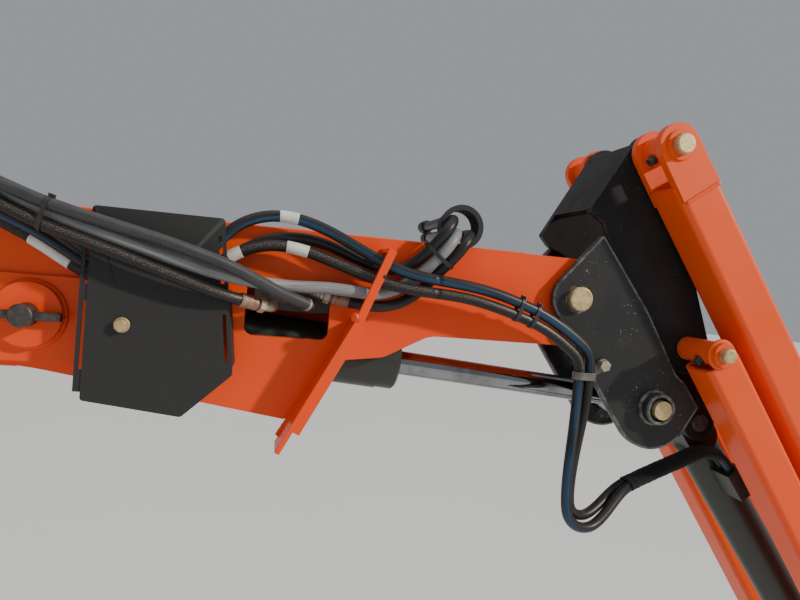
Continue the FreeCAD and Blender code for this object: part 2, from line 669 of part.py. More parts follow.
def ram(prefix, start, end, sizes):
    """A hydraulic cylinder between two pins: barrel and rod, each with an eye, along X in their own frame.

    The rod's eye carries the middle of its pin, which is not joined to the pin's two ends.
    """
    barrel_out, barrel_in, barrel_start, barrel_end, piston = sizes[:5]
    rod_r, eye_r, base_half, eye_half, pin_half = sizes[5:]
    length = math.hypot(end[0] - start[0], end[1] - start[1])
    degrees = math.degrees(math.atan2(start[1] - end[1], end[0] - start[0]))
    placement = Placement(Vector(start[0], 0, start[1]), Rotation(Vector(0, 1, 0), degrees))

    barrel = new_body(prefix + "_barrel")
    gland = barrel_end - 26
    profile = [
        ((barrel_start - 12, 0), (barrel_start - 12, barrel_out - 8)),
        ((barrel_start - 12, barrel_out - 8), (barrel_start, barrel_out)),
        ((barrel_start, barrel_out), (gland, barrel_out)),
        ((gland, barrel_out), (gland, barrel_out - 1.5)),
        ((gland, barrel_out - 1.5), (barrel_end - 3, barrel_out - 1.5)),
        ((barrel_end - 3, barrel_out - 1.5), (barrel_end, barrel_out - 4.5)),
        ((barrel_end, barrel_out - 4.5), (barrel_end, rod_r + dim.rod_slip)),
        ((barrel_end, rod_r + dim.rod_slip), (gland, rod_r + dim.rod_slip)),
        ((gland, rod_r + dim.rod_slip), (gland, barrel_in)),
        ((gland, barrel_in), (barrel_start + 8, barrel_in)),
        ((barrel_start + 8, barrel_in), (barrel_start + 8, 0)),
        ((barrel_start + 8, 0), (barrel_start - 12, 0)),
    ]
    revolve(barrel, "tube", profile)
    eye = outline([("lobe", 0, 0, eye_r), ("lobe", barrel_start - 10, 0, eye_r)])
    pad(barrel, "base_eye", eye, "0 - ( %s )" % base_half, base_half)
    pocket(barrel, "base_bore", ((0, 0, "pin_r + pin_slip"),))
    if prefix == "jib":
        pad(barrel, "port_block", outline([
            ("corner", dim.port_at, -dim.port_half, 0),
            ("corner", dim.port_at + dim.port_long, -dim.port_half, 0),
            ("corner", dim.port_at + dim.port_long, dim.port_half, 0),
            ("corner", dim.port_at, dim.port_half, 0),
        ]), "0 - port_reach", "jib_port_seat - jib_barrel_out")
    barrel.Placement = placement

    rod = new_body(prefix + "_rod")
    neck = length - eye_r + 4
    behind = piston - dim.piston_wide
    profile = [
        ((behind, 0), (behind, barrel_in - 0.5)),
        ((behind, barrel_in - 0.5), (piston, barrel_in - 0.5)),
        ((piston, barrel_in - 0.5), (piston, rod_r)),
        ((piston, rod_r), (neck, rod_r)),
        ((neck, rod_r), (neck, 0)),
        ((neck, 0), (behind, 0)),
    ]
    revolve(rod, "rod", profile)
    eye = outline([("lobe", length, 0, eye_r), ("lobe", length - 12, 0, eye_r)])
    pad(rod, "rod_eye", eye, "0 - ( %s )" % eye_half, eye_half)
    round_pad(rod, "pin_middle", (length, 0), "pin_r", "0 - ( %s )" % pin_half, pin_half)
    rod.Placement = placement


def revolve(body, name, profile):
    """Turns a half profile, given as (x, radius) lines, about the X axis."""
    sketch = new_sketch(body, name + "_profile", "XY_Plane")
    for start, end in profile:
        sketch.addGeometry(Part.LineSegment(Vector(start[0], start[1], 0), Vector(end[0], end[1], 0)))
    feature = body.newObject("PartDesign::Revolution", name + "_turn")
    feature.Profile = sketch
    feature.ReferenceAxis = (sketch, ["H_Axis"])
    feature.Angle = 360
    return feature


def rams():
    """The levelling cylinder under the nose and the jib cylinder between the lower links."""
    ram("level", BASE, EYE, (
        dim.barrel_out, dim.barrel_in, dim.barrel_start, dim.barrel_end, dim.level_piston, dim.rod_r,
        dim.eye_out, "rear_eye_half", "eye_half", "eye_half + lug_gap / 2"))
    ram("jib", JIB_EYE, ram_pin_place(), (
        dim.jib_barrel_out, dim.jib_barrel_in, dim.jib_barrel_start, dim.jib_barrel_end, dim.jib_piston,
        dim.jib_rod_r, dim.jib_eye_r, "jib_eye_half", "jib_eye_half", "upper_inner - side_gap"))


def knuckle_plates():
    """Two shields that straddle the nose, and two cheeks above them that carry the links."""
    shield = [
        ("corner", *point(dim.apex_x, dim.apex_z), 3),
        ("lobe", *PIVOT, dim.shield_pivot_r),
        ("lobe", *EYE, dim.shield_eye_r),
        ("corner", *point(dim.horn_x, -dim.horn_low), 3),
        ("corner", *point(dim.notch_x, -dim.notch_low), 4),
        ("corner", *point(dim.notch_top_x, -dim.notch_top_low), 8),
        ("corner", *point(dim.bend_x, -dim.bend_low), 30),
    ]
    heads = {
        "near": [
            ("corner", *point(dim.chin_x, dim.chin_z), 5),
            ("corner", *point(dim.chin_in_x, dim.chin_in_z), 6),
        ],
        "far": [
            ("corner", *point(dim.far_chin_x, dim.far_chin_z), 4),
            ("corner", *point(dim.far_chin_in_x, dim.far_chin_in_z), 4),
        ],
    }
    for name, near in SIDES:
        cheek = [("lobe", *UPPER, dim.head_r)]
        cheek += heads[name]
        cheek += [
            ("lobe", *PIVOT, -dim.nose_clear),
            ("corner", *point(dim.heel_x, -dim.heel_low), 8),
            ("lobe", *LOWER, dim.heel_r),
        ]
        holes = ((*UPPER, "pin_r + pin_slip"), (*LOWER, "low_pin_r + pin_slip"))
        near_y, far_y = layer(near, CHEEK_IN, CHEEK_OUT)
        side_plate("cheek_" + name, cheek, near_y, far_y, holes)
        near_y, far_y = layer(near, CHEEK_OUT, SHIELD_OUT)
        holes = ((*PIVOT, "main_pin_r + pin_slip"), (*EYE, "collar_out + pin_slip"))
        side_plate("shield_" + name, shield, near_y, far_y, holes)


def knuckle_webs():
    """Front plate between the cheeks, and a floor plate with the jib cylinder's two lugs."""
    low, high = point(dim.chin_x, dim.chin_z), point(dim.front_top_x, dim.front_top_z)
    along = unit(low, high)
    inward = (along[1] * dim.knuckle_plate, -along[0] * dim.knuckle_plate)
    low = (low[0] + along[0] * 4, low[1] + along[1] * 4)
    side_plate("knuckle_front_plate", [
        ("corner", *low, 0),
        ("corner", low[0] + inward[0], low[1] + inward[1], 0),
        ("corner", high[0] + inward[0], high[1] + inward[1], 0),
        ("corner", *high, 0),
    ], "0 - ( %s )" % CHEEK_IN, CHEEK_IN)
    floor_z = LOWER[1] - dim.heel_r + 2
    rear, front = PIVOT[0] + dim.floor_rear, PIVOT[0] + dim.floor_front
    side_plate("knuckle_floor_plate", [
        ("corner", rear, floor_z, 0),
        ("corner", front, floor_z, 0),
        ("corner", front, floor_z + dim.knuckle_plate, 0),
        ("corner", rear, floor_z + dim.knuckle_plate, 0),
    ], "0 - ( %s )" % CHEEK_IN, CHEEK_IN)
    lug = outline([
        ("lobe", *JIB_EYE, dim.jib_eye_r),
        ("corner", PIVOT[0] + dim.jib_lug_front, floor_z, 0),
        ("corner", PIVOT[0] + dim.jib_lug_rear, floor_z, 0),
    ])
    lugs = []
    for name, near in SIDES:
        near_y, far_y = layer(near, "jib_eye_half + lug_gap", "jib_eye_half + lug_gap + knuckle_plate")
        lug_body = new_body("jib_lug_" + name)
        nodes.remove(lug_body)
        pad(lug_body, "lug_" + name, lug, near_y, far_y, ((*JIB_EYE, "pin_r + pin_slip"),))
        lugs.append(lug_body)
    node(joined("jib_lugs", lugs), "jib_lugs")


def knuckle_pins():
    """Main pin, link pins, jib cylinder's base pin, and the rod pin's ends in their collars."""
    pin("main_pin", "main_pin_r", SHIELD_OUT + " + link_pin_reach", *PIVOT)
    pin("upper_link_pin", "pin_r", "upper_inner + upper_box + lug_ring_thick + link_pin_reach", *UPPER)
    pin("lower_link_pin", "low_pin_r", "lower_inner + lower_box + low_boss_reach + link_pin_reach", *LOWER)
    pin("jib_base_pin", "pin_r", "jib_eye_half + lug_gap + knuckle_plate + 4", *JIB_EYE)
    collars = []
    ends = []
    for name, near in SIDES:
        near_y, far_y = layer(near, "eye_half + lug_gap", SHIELD_OUT + " + collar_reach")
        collars.append(tube_y("collar_" + name, "collar_out", "collar_in", near_y, far_y, *EYE))
        near_y, far_y = layer(near, "eye_half + lug_gap", SHIELD_OUT + " + collar_reach - 4")
        ends.append(round_bar("rod_pin_end_" + name, "pin_r", near_y, far_y, *EYE))
        near_y, far_y = layer(near, "eye_half + lug_gap", SHIELD_OUT)
        ends.append(round_bar("rod_pin_seat_" + name, "collar_in - pin_slip", near_y, far_y, *EYE))
    node(joined("rod_pin_collars", collars), "rod_pin_collars")
    node(joined("rod_pin_ends", ends), "rod_pin_ends")


def link_place(body, start):
    body.Placement = Placement(Vector(start[0], 0, start[1]), Rotation(Vector(0, 1, 0), dim.link_angle))


def square_tube(body, name, side, wall, y_inner, near, start, end):
    """A square tube along X in the link's own frame, with its inner face at y_inner."""
    half = side / 2
    middle = (y_inner + half) * (-1 if near else 1)
    sketch = new_sketch(body, name + "_section", "YZ_Plane", str(start))
    for size in (half, half - wall):
        corners = ((-size, -size), (size, -size), (size, size), (-size, size))
        rounding = 8 if size == half else 3
        steps = [("corner", middle + y, z, rounding) for y, z in corners]
        add_edges(sketch, outline(steps))
    feature = body.newObject("PartDesign::Pad", name + "_pad")
    feature.Profile = sketch
    feature.Length = end - start
    return feature


def upper_links():
    """Two square tubes, each with two lug plates and a ring at either end."""
    long = dim.link_long
    for name, near in SIDES:
        body = new_body("upper_link_" + name)
        square_tube(body, "tube", dim.upper_box, dim.upper_wall, dim.upper_inner, near,
                    dim.box_start, long - dim.box_start)
        half = dim.upper_box / 2
        for end_name, at, way in (("boom", 0, 1), ("platform", long, -1)):
            foot = at + way * dim.lug_foot
            feet = [("corner", foot, -half + 1, 0), ("corner", foot, half - 1, 0)]
            steps = [("lobe", at, 0, dim.lug_r)] + feet[::way]
            layers = (
                ("inner", "upper_inner", "upper_inner + lug_thick"),
                ("outer", "upper_inner + upper_box - lug_thick", "upper_inner + upper_box + 1"),
            )
            for layer_name, inner, outer in layers:
                near_y, far_y = layer(near, inner, outer)
                pad(body, "%s_%s_lug" % (end_name, layer_name), outline(steps), near_y, far_y)
            tube_face = "upper_inner + upper_box"
            near_y, far_y = layer(near, tube_face, tube_face + " + lug_ring_thick")
            round_pad(body, end_name + "_ring", (at, 0), "lug_ring_r", near_y, far_y)
        pocket(body, "pin_bores", ((0, 0, "pin_r + pin_slip"), (long, 0, "pin_r + pin_slip")))
        link_place(body, UPPER)


def lower_links():
    """Two square tubes with a long boss tube at either end, and a boss for the jib cylinder's pin."""
    long = dim.link_long
    for name, near in SIDES:
        body = new_body("lower_link_" + name)
        square_tube(body, "tube", dim.lower_box, dim.lower_wall, dim.lower_inner, near,
                    dim.low_box_start, long - dim.low_box_start)
        boss_end = "lower_inner + lower_box + low_boss_reach"
        near_y, far_y = layer(near, CHEEK_OUT + " + low_boss_gap", boss_end)
        bosses = (
            ("boom", 0, near_y, far_y, "low_boss_out"),
            ("platform", long, near_y, far_y, "low_boss_out"),
        )
        for end_name, at, low_y, high_y, radius in bosses:
            round_pad(body, end_name + "_boss", (at, 0), radius, low_y, high_y)
        near_y, far_y = layer(near, "lower_inner - 4", "lower_inner + lower_box + 4")
        round_pad(body, "ram_boss", (dim.link_pin_back, 0), "pin_r + 8", near_y, far_y)
        pocket(body, "pin_bores", (
            (0, 0, "low_pin_r + pin_slip"), (long, 0, "low_pin_r + pin_slip"),
            (dim.link_pin_back, 0, "pin_r + pin_slip")))
        link_place(body, LOWER)


def round_pad(body, name, place, radius, near_y, far_y):
    """A round boss along Y at a place of the body's side view."""
    sketch = new_sketch(body, name + "_sketch", "XZ_Plane", "0 - ( %s )" % far_y)
    add_circle(sketch, *place, radius)
    feature = body.newObject("PartDesign::Pad", name + "_pad")
    feature.Profile = sketch
    feature.setExpression("Length", bound("( %s ) - ( %s )" % (far_y, near_y)))
    return feature


def link_end(start):
    """Where a link's far pin is."""
    across, up = turned((dim.link_long, 0), dim.link_angle)
    return (start[0] + across, start[1] + up)


def ram_pin_place():
    """Where the lower links carry the jib cylinder's rod pin."""
    across, up = turned((dim.link_pin_back, 0), dim.link_angle)
    return (LOWER[0] + across, LOWER[1] + up)


def ram_pin_ends():
    """The two ends of the jib cylinder's rod pin in the lower links."""
    x, z = ram_pin_place()
    ends = []
    for name, near in SIDES:
        near_y, far_y = layer(near, "lower_inner - 5", "lower_inner + lower_box + link_pin_reach")
        ends.append(round_bar("jib_pin_end_" + name, "pin_r", near_y, far_y, x, z))
    node(joined("jib_pin_ends", ends), "jib_pin_ends")


def platform_bracket():
    """Two cheeks on the links' far pins, with an upright plate for the platform's rotator."""
    upper = link_end(UPPER)
    lower = link_end(LOWER)
    plate_x = lower[0] + dim.mount_reach
    plate_high = dim.mount_hole_z / 2 + dim.mount_edge
    middle_z = (upper[1] + lower[1]) / 2
    steps = [
        ("lobe", *upper, dim.head_r),
        ("lobe", *lower, dim.heel_r),
        ("corner", plate_x, middle_z - plate_high + 6, 0),
        ("corner", plate_x, middle_z + plate_high - 6, 0),
    ]
    holes = ((*upper, "pin_r + pin_slip"), (*lower, "low_pin_r + pin_slip"))
    for name, near in SIDES:
        near_y, far_y = layer(near, CHEEK_IN, CHEEK_OUT)
        side_plate("bracket_cheek_" + name, steps, near_y, far_y, holes)
    body = new_body("platform_plate")
    sketch = new_sketch(body, "plate_sketch", "YZ_Plane", str(plate_x))
    wide = dim.mount_half_wide
    corners = ((-wide, -plate_high), (wide, -plate_high), (wide, plate_high), (-wide, plate_high))
    add_edges(sketch, outline([("corner", y, middle_z + z, 14) for y, z in corners]))
    for y in (-dim.mount_hole_y / 2, dim.mount_hole_y / 2):
        for z in (-dim.mount_hole_z / 2, dim.mount_hole_z / 2):
            add_circle(sketch, y, middle_z + z, "mount_hole_r")
    feature = body.newObject("PartDesign::Pad", "plate_pad")
    feature.Profile = sketch
    feature.setExpression("Length", bound("mount_plate"))
    pin("bracket_upper_pin", "pin_r", "upper_inner + upper_box + lug_ring_thick + link_pin_reach", *upper)
    low_pin_end = "lower_inner + lower_box + low_boss_reach + link_pin_reach"
    pin("bracket_lower_pin", "low_pin_r", low_pin_end, *lower)


# Where the hoses stop: (across the boom, above its top) in the hose end plate.
PLATE_ROWS = {
    "conduit_hose": (-88, 62),
    "feed_hose": (-66, 62),
    "grey_cable": (-44, 62),
    "outer_hose": (-77, 38),
    "inner_hose": (-55, 38),
    "high_hose": (-33, 38),
}
PLATE_FRONT = dim.hose_plate_x + dim.hose_plate_thick
NUT_FRONT = dim.hose_plate_x + dim.coupling_long
SHIELD_FACE = dim.boom_half + dim.side_gap + dim.knuckle_plate
CLAMP_Y = -(SHIELD_FACE + dim.clamp_sheet + dim.hose_r + dim.pin_slip)
CLAMP_X, CLAMP_Z = point(dim.clamp_bolt_x - dim.clamp_back, -dim.clamp_bolt_low - dim.clamp_drop)
CLAMP_PITCH = 2 * dim.hose_r + 3 * dim.pin_slip


def from_plate(label):
    """A hose's first two places, straight out of its coupling in the end plate."""
    y, above = PLATE_ROWS[label]
    return [(NUT_FRONT, y, top_z + above), (NUT_FRONT + 32, y, top_z + above)]


# Each hose's route is a list of places on its middle line, chosen by hand.
ROUTES = {
    # The ribbed conduit in front of the cover, down to the hand hole.
    "conduit_hose": from_plate("conduit_hose") + [
        (128, -89, 141), (176, -91, 123), (226, -97, 105), (275, -109, 88), (330, -118, 75),
        (385, -120, 63), (425, -121, 52.5), (462, -121, 41), (492, -117, 28), (516, -105, 16),
        (537, -92, 8), (551, -81, 3)],
    # The hose with white print beside it, to the hand hole's rear corner.
    "feed_hose": from_plate("feed_hose") + [
        (128, -69, 139), (176, -78, 112), (224, -94, 84), (277, -109, 64), (331, -118, 49),
        (380, -119.5, 33), (425, -117, 18), (450, -113, 10), (472, -106, 5), (492, -95, 1)],
    # The grey cable in front of the cover, behind the retainer bar and up into the crossover tube.
    "grey_cable": from_plate("grey_cable") + [
        (128, -50, 142), (176, -62, 124), (224, -82, 98), (272, -97, 79.5), (322, -109.5, 65.5),
        (368, -110.5, 52.5), (410, -110.5, 41), (446, -110, 32), (480, -105, 26.5), (508, -92, 23.5),
        (535, -83, 23), (570, -83, 25), (604, -82.5, 23.5), (630, -78, 21.5), (654, -73, 28.5),
        (676, -71.5, 42.5), (693, -75, 60), (706, -82, 76), (715.5, -84, 90), (721, -80, 97.5),
        (725.5, -72.5, 103.5), (728, -63, 106.5), (728.6, -46, 106.9), (727.4, -18, 106),
        (728, 24, 106.5), (728, 72, 106.5)],
    # The hose that starts at the hand hole and runs under the cable.
    "low_hose": [
        (580, -67.5, 13.5), (604, -68.5, 8.5), (634, -70.5, 6), (658, -70.5, 11), (678, -70, 22.5),
        (695.5, -71, 40), (710.5, -75, 59), (723.5, -82, 75), (733, -84, 89), (738.5, -80, 97),
        (743, -72.5, 102.5), (745.5, -63, 106), (745, -46, 106.5), (745.9, -18, 105.7),
        (745.3, 24, 106), (745.3, 72, 106)],
    # The hose that passes behind the cover and makes the high arch in front of it.
    "outer_hose": from_plate("outer_hose") + [
        (128, -78, 114), (176, -80, 94), (222, -80.5, 75), (258, -82, 60), (290, -86, 42),
        (320, -89.5, 24), (352, -89.8, 13), (388, -89.8, 14), (418, -88, 32), (440, -84, 60),
        (464, -80, 89), (498, -76.5, 103.5), (534, -76, 102.5), (568, -78, 92), (600, -81, 77),
        (634, -85.5, 61), (668, -90, 48.5), (704, -90, 45.5)],
    # The hose below it, with the white sleeve.
    "inner_hose": from_plate("inner_hose") + [
        (126, -57, 112), (172, -64, 90), (216, -66.5, 68), (254, -70, 50), (288, -74, 30),
        (320, -75.8, 12), (354, -76, 3), (392, -76, 7), (422, -75.5, 24), (446, -76, 43),
        (472, -76.5, 60), (504, -76.5, 70), (540, -76.5, 67), (576, -78, 56), (608, -82, 46),
        (642, -88.5, 35.5), (672, -90, 31), (704, -90, 29.5)],
    # A third hose behind these two, on to the crossover tube.
    "high_hose": from_plate("high_hose") + [
        (124, -38, 117), (166, -49, 111), (204, -62.5, 98), (236, -63, 81), (264, -62.5, 62),
        (290, -62.5, 43), (320, -62.3, 26), (354, -62.2, 17), (390, -62.2, 17.5), (420, -62, 27),
        (446, -62, 43), (470, -62, 60), (498, -62, 75), (532, -62, 82), (568, -62.5, 77),
        (602, -64, 64), (634, -65, 53), (660, -65, 54), (678, -70, 65), (690, -77, 79),
        (700.5, -82, 93), (710, -84, 106.5), (716, -80, 114), (720, -72.5, 120),
        (722.5, -63, 123), (723, -46, 122.5), (722, -18, 123.3), (722.6, 24, 123),
        (722.6, 72, 123)],
    # The pair over the knuckle's pivot, from the nose to the clamp.
    "outer_bend": [
        (704, -90, 45.5), (740, -90, 42.5), (778, -88.5, 36), (812, -86.5, 26.5), (844, -84, 15.5),
        (874, -81.5, 0.5), (897, -79.5, -14), (911.5, -78.2, -24.5), (918, CLAMP_Y, -33),
        (CLAMP_X, CLAMP_Y, -43), (CLAMP_X, CLAMP_Y, CLAMP_Z)],
    "inner_bend": [
        (704, -90, 29.5), (736, -90, 28), (770, -89, 21.5), (804, -87, 12.5), (834, -84.5, 3),
        (862, -82, -10), (886, -79.5, -25.5), (899, -78.2, -35), (904.4, CLAMP_Y, -43),
        (CLAMP_X - CLAMP_PITCH, CLAMP_Y, -52), (CLAMP_X - CLAMP_PITCH, CLAMP_Y, CLAMP_Z)],
    # The pair's loop below the clamp, up to the sleeve's open end.
    "outer_loop": [
        (CLAMP_X, CLAMP_Y, CLAMP_Z), (CLAMP_X, CLAMP_Y, -76), (918.5, -79.5, -104), (912.5, -83, -133),
        (906.5, -87, -163), (903.5, -88, -193), (905, -86, -219), (910, -82, -234.5),
        (919.5, -77.5, -244), (932, -72, -249), (946, -66, -249), (964, -58, -241.5),
        (985, -47.5, -229)],
    "inner_loop": [
        (CLAMP_X - CLAMP_PITCH, CLAMP_Y, CLAMP_Z), (CLAMP_X - CLAMP_PITCH, CLAMP_Y, -78),
        (904, -83.5, -105), (899.5, -91, -133), (895, -97, -163), (893.5, -98.5, -195),
        (896, -97.5, -226), (902.5, -94, -242.5), (914.5, -89.5, -254.5), (930.5, -84, -261),
        (948, -78, -261), (967, -71, -250), (986.5, -62, -233)],
}
# The rest of both, seen from the side: through the sleeve to the jib cylinder's port block.
SLEEVED_WAY = [
    (1006, -216.5), (1036, -202), (1066, -188.5), (1094, -176.5), (1115.5, -166.5), (1128, -163.5),
    (1140, -164.5), (1151.5, -168.5)]
RADII = {"conduit_hose": "conduit_r", "grey_cable": "cable_r"}


def jib_side(along, across=0.0):
    """A place of the side view in the jib cylinder's own frame: along its axis, and above it."""
    forward = unit(JIB_EYE, ram_pin_place())
    return (JIB_EYE[0] + forward[0] * along - forward[1] * across,
            JIB_EYE[1] + forward[1] * along + forward[0] * across)


def sleeved(y):
    """The stretch of both hoses that ends at the port block, at its distance from the middle."""
    ends = [jib_side(dim.port_at - dim.port_run), jib_side(dim.port_at - dim.pin_slip)]
    return [(x, y, z) for x, z in SLEEVED_WAY + ends]


def route_wire(places):
    """Straight runs joined by tangent arcs, each arc as large as its two runs allow."""
    points = [Vector(*place) for place in places]
    edges = []
    radii = []
    start = points[0]
    for before, corner, after in zip(points, points[1:], points[2:]):
        back, ahead = before - corner, after - corner
        turn = math.pi - back.getAngle(ahead)
        reach = ARC_SHARE * min(back.Length, ahead.Length)
        radius = reach / math.tan(turn / 2)
        radii.append(radius)
        back.normalize()
        ahead.normalize()
        inward = (back + ahead).normalize()
        middle = corner + inward * (radius / math.cos(turn / 2) - radius)
        first, last = corner + back * reach, corner + ahead * reach
        edges.append(Part.LineSegment(start, first).toShape())
        edges.append(Part.Arc(first, middle, last).toShape())
        start = last
    edges.append(Part.LineSegment(start, points[-1]).toShape())
    return Part.Wire(edges), radii


def swept(label, wire, section, area):
    """A solid of one section along a route, checked by its volume."""
    solid = wire.makePipeShell([section], True, False)
    if abs(solid.Volume / (area * wire.Length) - 1) > VOLUME_ERROR:
        raise RuntimeError("%s has the wrong volume" % label)
    return solid


def hoses():
    """The hoses and the cable, each a plain round tube's outside."""
    ROUTES["outer_loop"] += sleeved(-dim.port_inner)
    ROUTES["inner_loop"] += sleeved(-dim.port_inner - dim.port_pitch)
    for label, places in ROUTES.items():
        radius = getattr(dim, RADII.get(label, "hose_r"))
        wire, radii = route_wire(places)
        way = Vector(*places[1]) - Vector(*places[0])
        ring = Part.Wire(Part.makeCircle(radius, Vector(*places[0]), way))
        tube = doc.addObject("Part::Feature", label)
        tube.Shape = swept(label, wire, ring, math.pi * radius ** 2)
        node(tube, label)
        print("%s: %.0f mm long, tightest bend %.0f mm" % (label, wire.Length, min(radii)))


def flat_ring(start, way, half_gap, radius):
    """A stadium across a direction of the side view, its two round ends apart along Y."""
    along_y = Vector(0, 1, 0)
    across = along_y.cross(way).normalize()
    ends = []
    for side in (1, -1):
        middle = start + along_y * (side * half_gap)
        low, high = middle - across * radius, middle + across * radius
        ends.append((low, middle + along_y * (side * radius), high))
    near, far = ends
    edges = [
        Part.Arc(*near).toShape(),
        Part.LineSegment(near[2], far[2]).toShape(),
        Part.Arc(far[2], far[1], far[0]).toShape(),
        Part.LineSegment(far[0], near[0]).toShape(),
    ]
    return Part.Wire(edges)


def loop_sleeve():
    """Woven sleeve round both hoses, flattened, open at both ends."""
    y = -dim.port_inner - dim.port_pitch / 2
    first, second = SLEEVED_WAY[0], SLEEVED_WAY[1]
    start = (first[0] + (second[0] - first[0]) / 5, y, first[1] + (second[1] - first[1]) / 5)
    places = [start] + [(x, y, z) for x, z in SLEEVED_WAY[1:]]
    wire = route_wire(places)[0]
    way = (Vector(*places[1]) - Vector(*places[0])).normalize()
    half_gap = dim.port_pitch / 2
    inner_r = dim.hose_r + dim.sleeve_slip
    solids = []
    for radius in (inner_r + dim.sleeve_wall, inner_r):
        section = flat_ring(Vector(*start), way, half_gap, radius)
        area = math.pi * radius ** 2 + 4 * half_gap * radius
        solids.append(swept("loop_sleeve", wire, section, area))
    sleeve = doc.addObject("Part::Feature", "loop_sleeve")
    sleeve.Shape = solids[0].cut(solids[1])
    node(sleeve, "loop_sleeve")


def bar_along(name, start, way, length, radius):
    """A round bar from a place along a direction."""
    bar = doc.addObject("Part::Cylinder", name)
    bar.Placement = Placement(Vector(*start), Rotation(Vector(0, 0, 1), Vector(*way)))
    bar.setExpression("Radius", bound(radius))
    bar.Height = length
    return bar


def hose_end_plate():
    """Plate on the boom's top with a coupling for each hose that comes from the rear."""
    ys = [y for y, above in PLATE_ROWS.values()]
    margin = 2 * dim.coupling_r
    high = top_z + dim.hose_plate_high
    body = new_body("hose_end_plate")
    sketch = new_sketch(body, "plate_sketch", "YZ_Plane", "hose_plate_x")
    add_edges(sketch, outline([
        ("corner", -dim.boom_half, top_z, 0),
        ("corner", max(ys) + margin, top_z, 0),
        ("corner", max(ys) + margin, high, 12),
        ("corner", min(ys) - margin, high, 12),
        ("corner", min(ys) - margin, top_z + margin, 12),
    ]))
    for y, above in PLATE_ROWS.values():
        add_circle(sketch, y, top_z + above, "coupling_neck + pin_slip")
    feature = body.newObject("PartDesign::Pad", "plate_pad")
    feature.Profile = sketch
    feature.setExpression("Length", bound("hose_plate_thick"))
    couplings = []
    for label, (y, above) in PLATE_ROWS.items():
        z = top_z + above
        couplings.append(bar_along(
            label + "_neck", (0, y, z), (1, 0, 0), PLATE_FRONT, "coupling_neck"))
        couplings.append(bar_along(
            label + "_nut", (PLATE_FRONT, y, z), (1, 0, 0), NUT_FRONT - PLATE_FRONT, "coupling_r"))
    for label in ("grey_cable", "low_hose", "high_hose"):
        couplings.append(bar_along(
            label + "_cap", ROUTES[label][-1], (0, 1, 0), dim.ferrule_long, "ferrule_r"))
    node(joined("hose_couplings", couplings), "hose_couplings")


def hand_hole_fittings():
    """Valve block behind the hand hole, and the elbows of the hoses that go to it."""
    block = new_body("valve_block")
    pad(block, "block", outline([
        ("corner", dim.valve_rear, dim.valve_low, 3),
        ("corner", dim.valve_front, dim.valve_low, 3),
        ("corner", dim.valve_front, dim.valve_high, 3),
        ("corner", dim.valve_rear, dim.valve_high, 3),
    ]), "0 - ( %s )" % NOSE_IN, "valve_deep - ( %s )" % NOSE_IN)
    fittings = []
    for label, at, beside in (("conduit_hose", -1, -2), ("feed_hose", -1, -2), ("low_hose", 0, 1)):
        end = Vector(*ROUTES[label][at])
        way = (end - Vector(*ROUTES[label][beside])).normalize()
        fittings.append(bar_along(
            label + "_ferrule", tuple(end), tuple(way), dim.ferrule_long, "ferrule_r"))
        corner = end + way * (dim.ferrule_long - dim.ferrule_r)
        reach = -dim.boom_half + dim.side_thick - corner.y
        fittings.append(bar_along(label + "_elbow", tuple(corner), (0, 1, 0), reach, "ferrule_r"))
    node(joined("hose_fittings", fittings), "hose_fittings")


def hose_clamp():
    """Band round the pair of hoses with an ear under a bolt's head on the near shield."""
    bolt = point(dim.clamp_bolt_x, -dim.clamp_bolt_low)
    low, high = CLAMP_Z - dim.clamp_band / 2, CLAMP_Z + dim.clamp_band / 2
    body = new_body("hose_clamp")
    ear_near = "0 - ( %s + 2 * clamp_sheet )" % SHIELD_OUT
    pad(body, "clamp_ear", outline([
        ("corner", CLAMP_X, low, 0),
        ("lobe", bolt[0], bolt[1], dim.clamp_head + 1),
        ("corner", CLAMP_X, high, 0),
    ]), ear_near, "0 - ( %s )" % SHIELD_OUT)
    head = []
    for step in range(6):
        angle = math.radians(60 * step + 15)
        head.append(("corner", bolt[0] + dim.clamp_head * math.cos(angle),
                     bolt[1] + dim.clamp_head * math.sin(angle), 0))
    pad(body, "bolt_head", outline(head), ear_near + " - clamp_head", ear_near)
    band = new_sketch(body, "band_sketch", "XY_Plane", str(low))
    pair = ((CLAMP_X - CLAMP_PITCH, CLAMP_Y), (CLAMP_X, CLAMP_Y))
    add_edges(band, outline([("lobe", x, y, dim.hose_r + dim.clamp_sheet) for x, y in pair]))
    feature = body.newObject("PartDesign::Pad", "band_pad")
    feature.Profile = band
    feature.setExpression("Length", bound("clamp_band"))
    hollow = new_sketch(body, "hollow_sketch", "XY_Plane", str(low))
    add_edges(hollow, outline([("lobe", x, y, dim.hose_r + dim.pin_slip) for x, y in pair]))
    feature = body.newObject("PartDesign::Pocket", "hollow_pocket")
    feature.Profile = hollow
    feature.Type = 1
    feature.Midplane = True


nose_sides()
nose_plates()
nose_bosses()
hose_cover()
hose_guide()
crossover_tube()
rams()
knuckle_plates()
knuckle_webs()
knuckle_pins()
upper_links()
lower_links()
ram_pin_ends()
platform_bracket()
hoses()
loop_sleeve()
hose_end_plate()
hand_hole_fittings()
hose_clamp()
doc.recompute()

for item in doc.Objects:
    if "Invalid" in item.State or "Error" in item.State:
        raise RuntimeError("%s failed" % item.Label)
for item in nodes:
    if item.Shape.isNull() or not item.Shape.isValid() or item.Shape.Volume < 1:
        raise RuntimeError("%s has no sound shape" % item.Label)

os.makedirs("parts", exist_ok=True)
for item in nodes:
    item.Shape.exportStep("parts/%s.step" % item.Label)
print(len(nodes), "pieces")
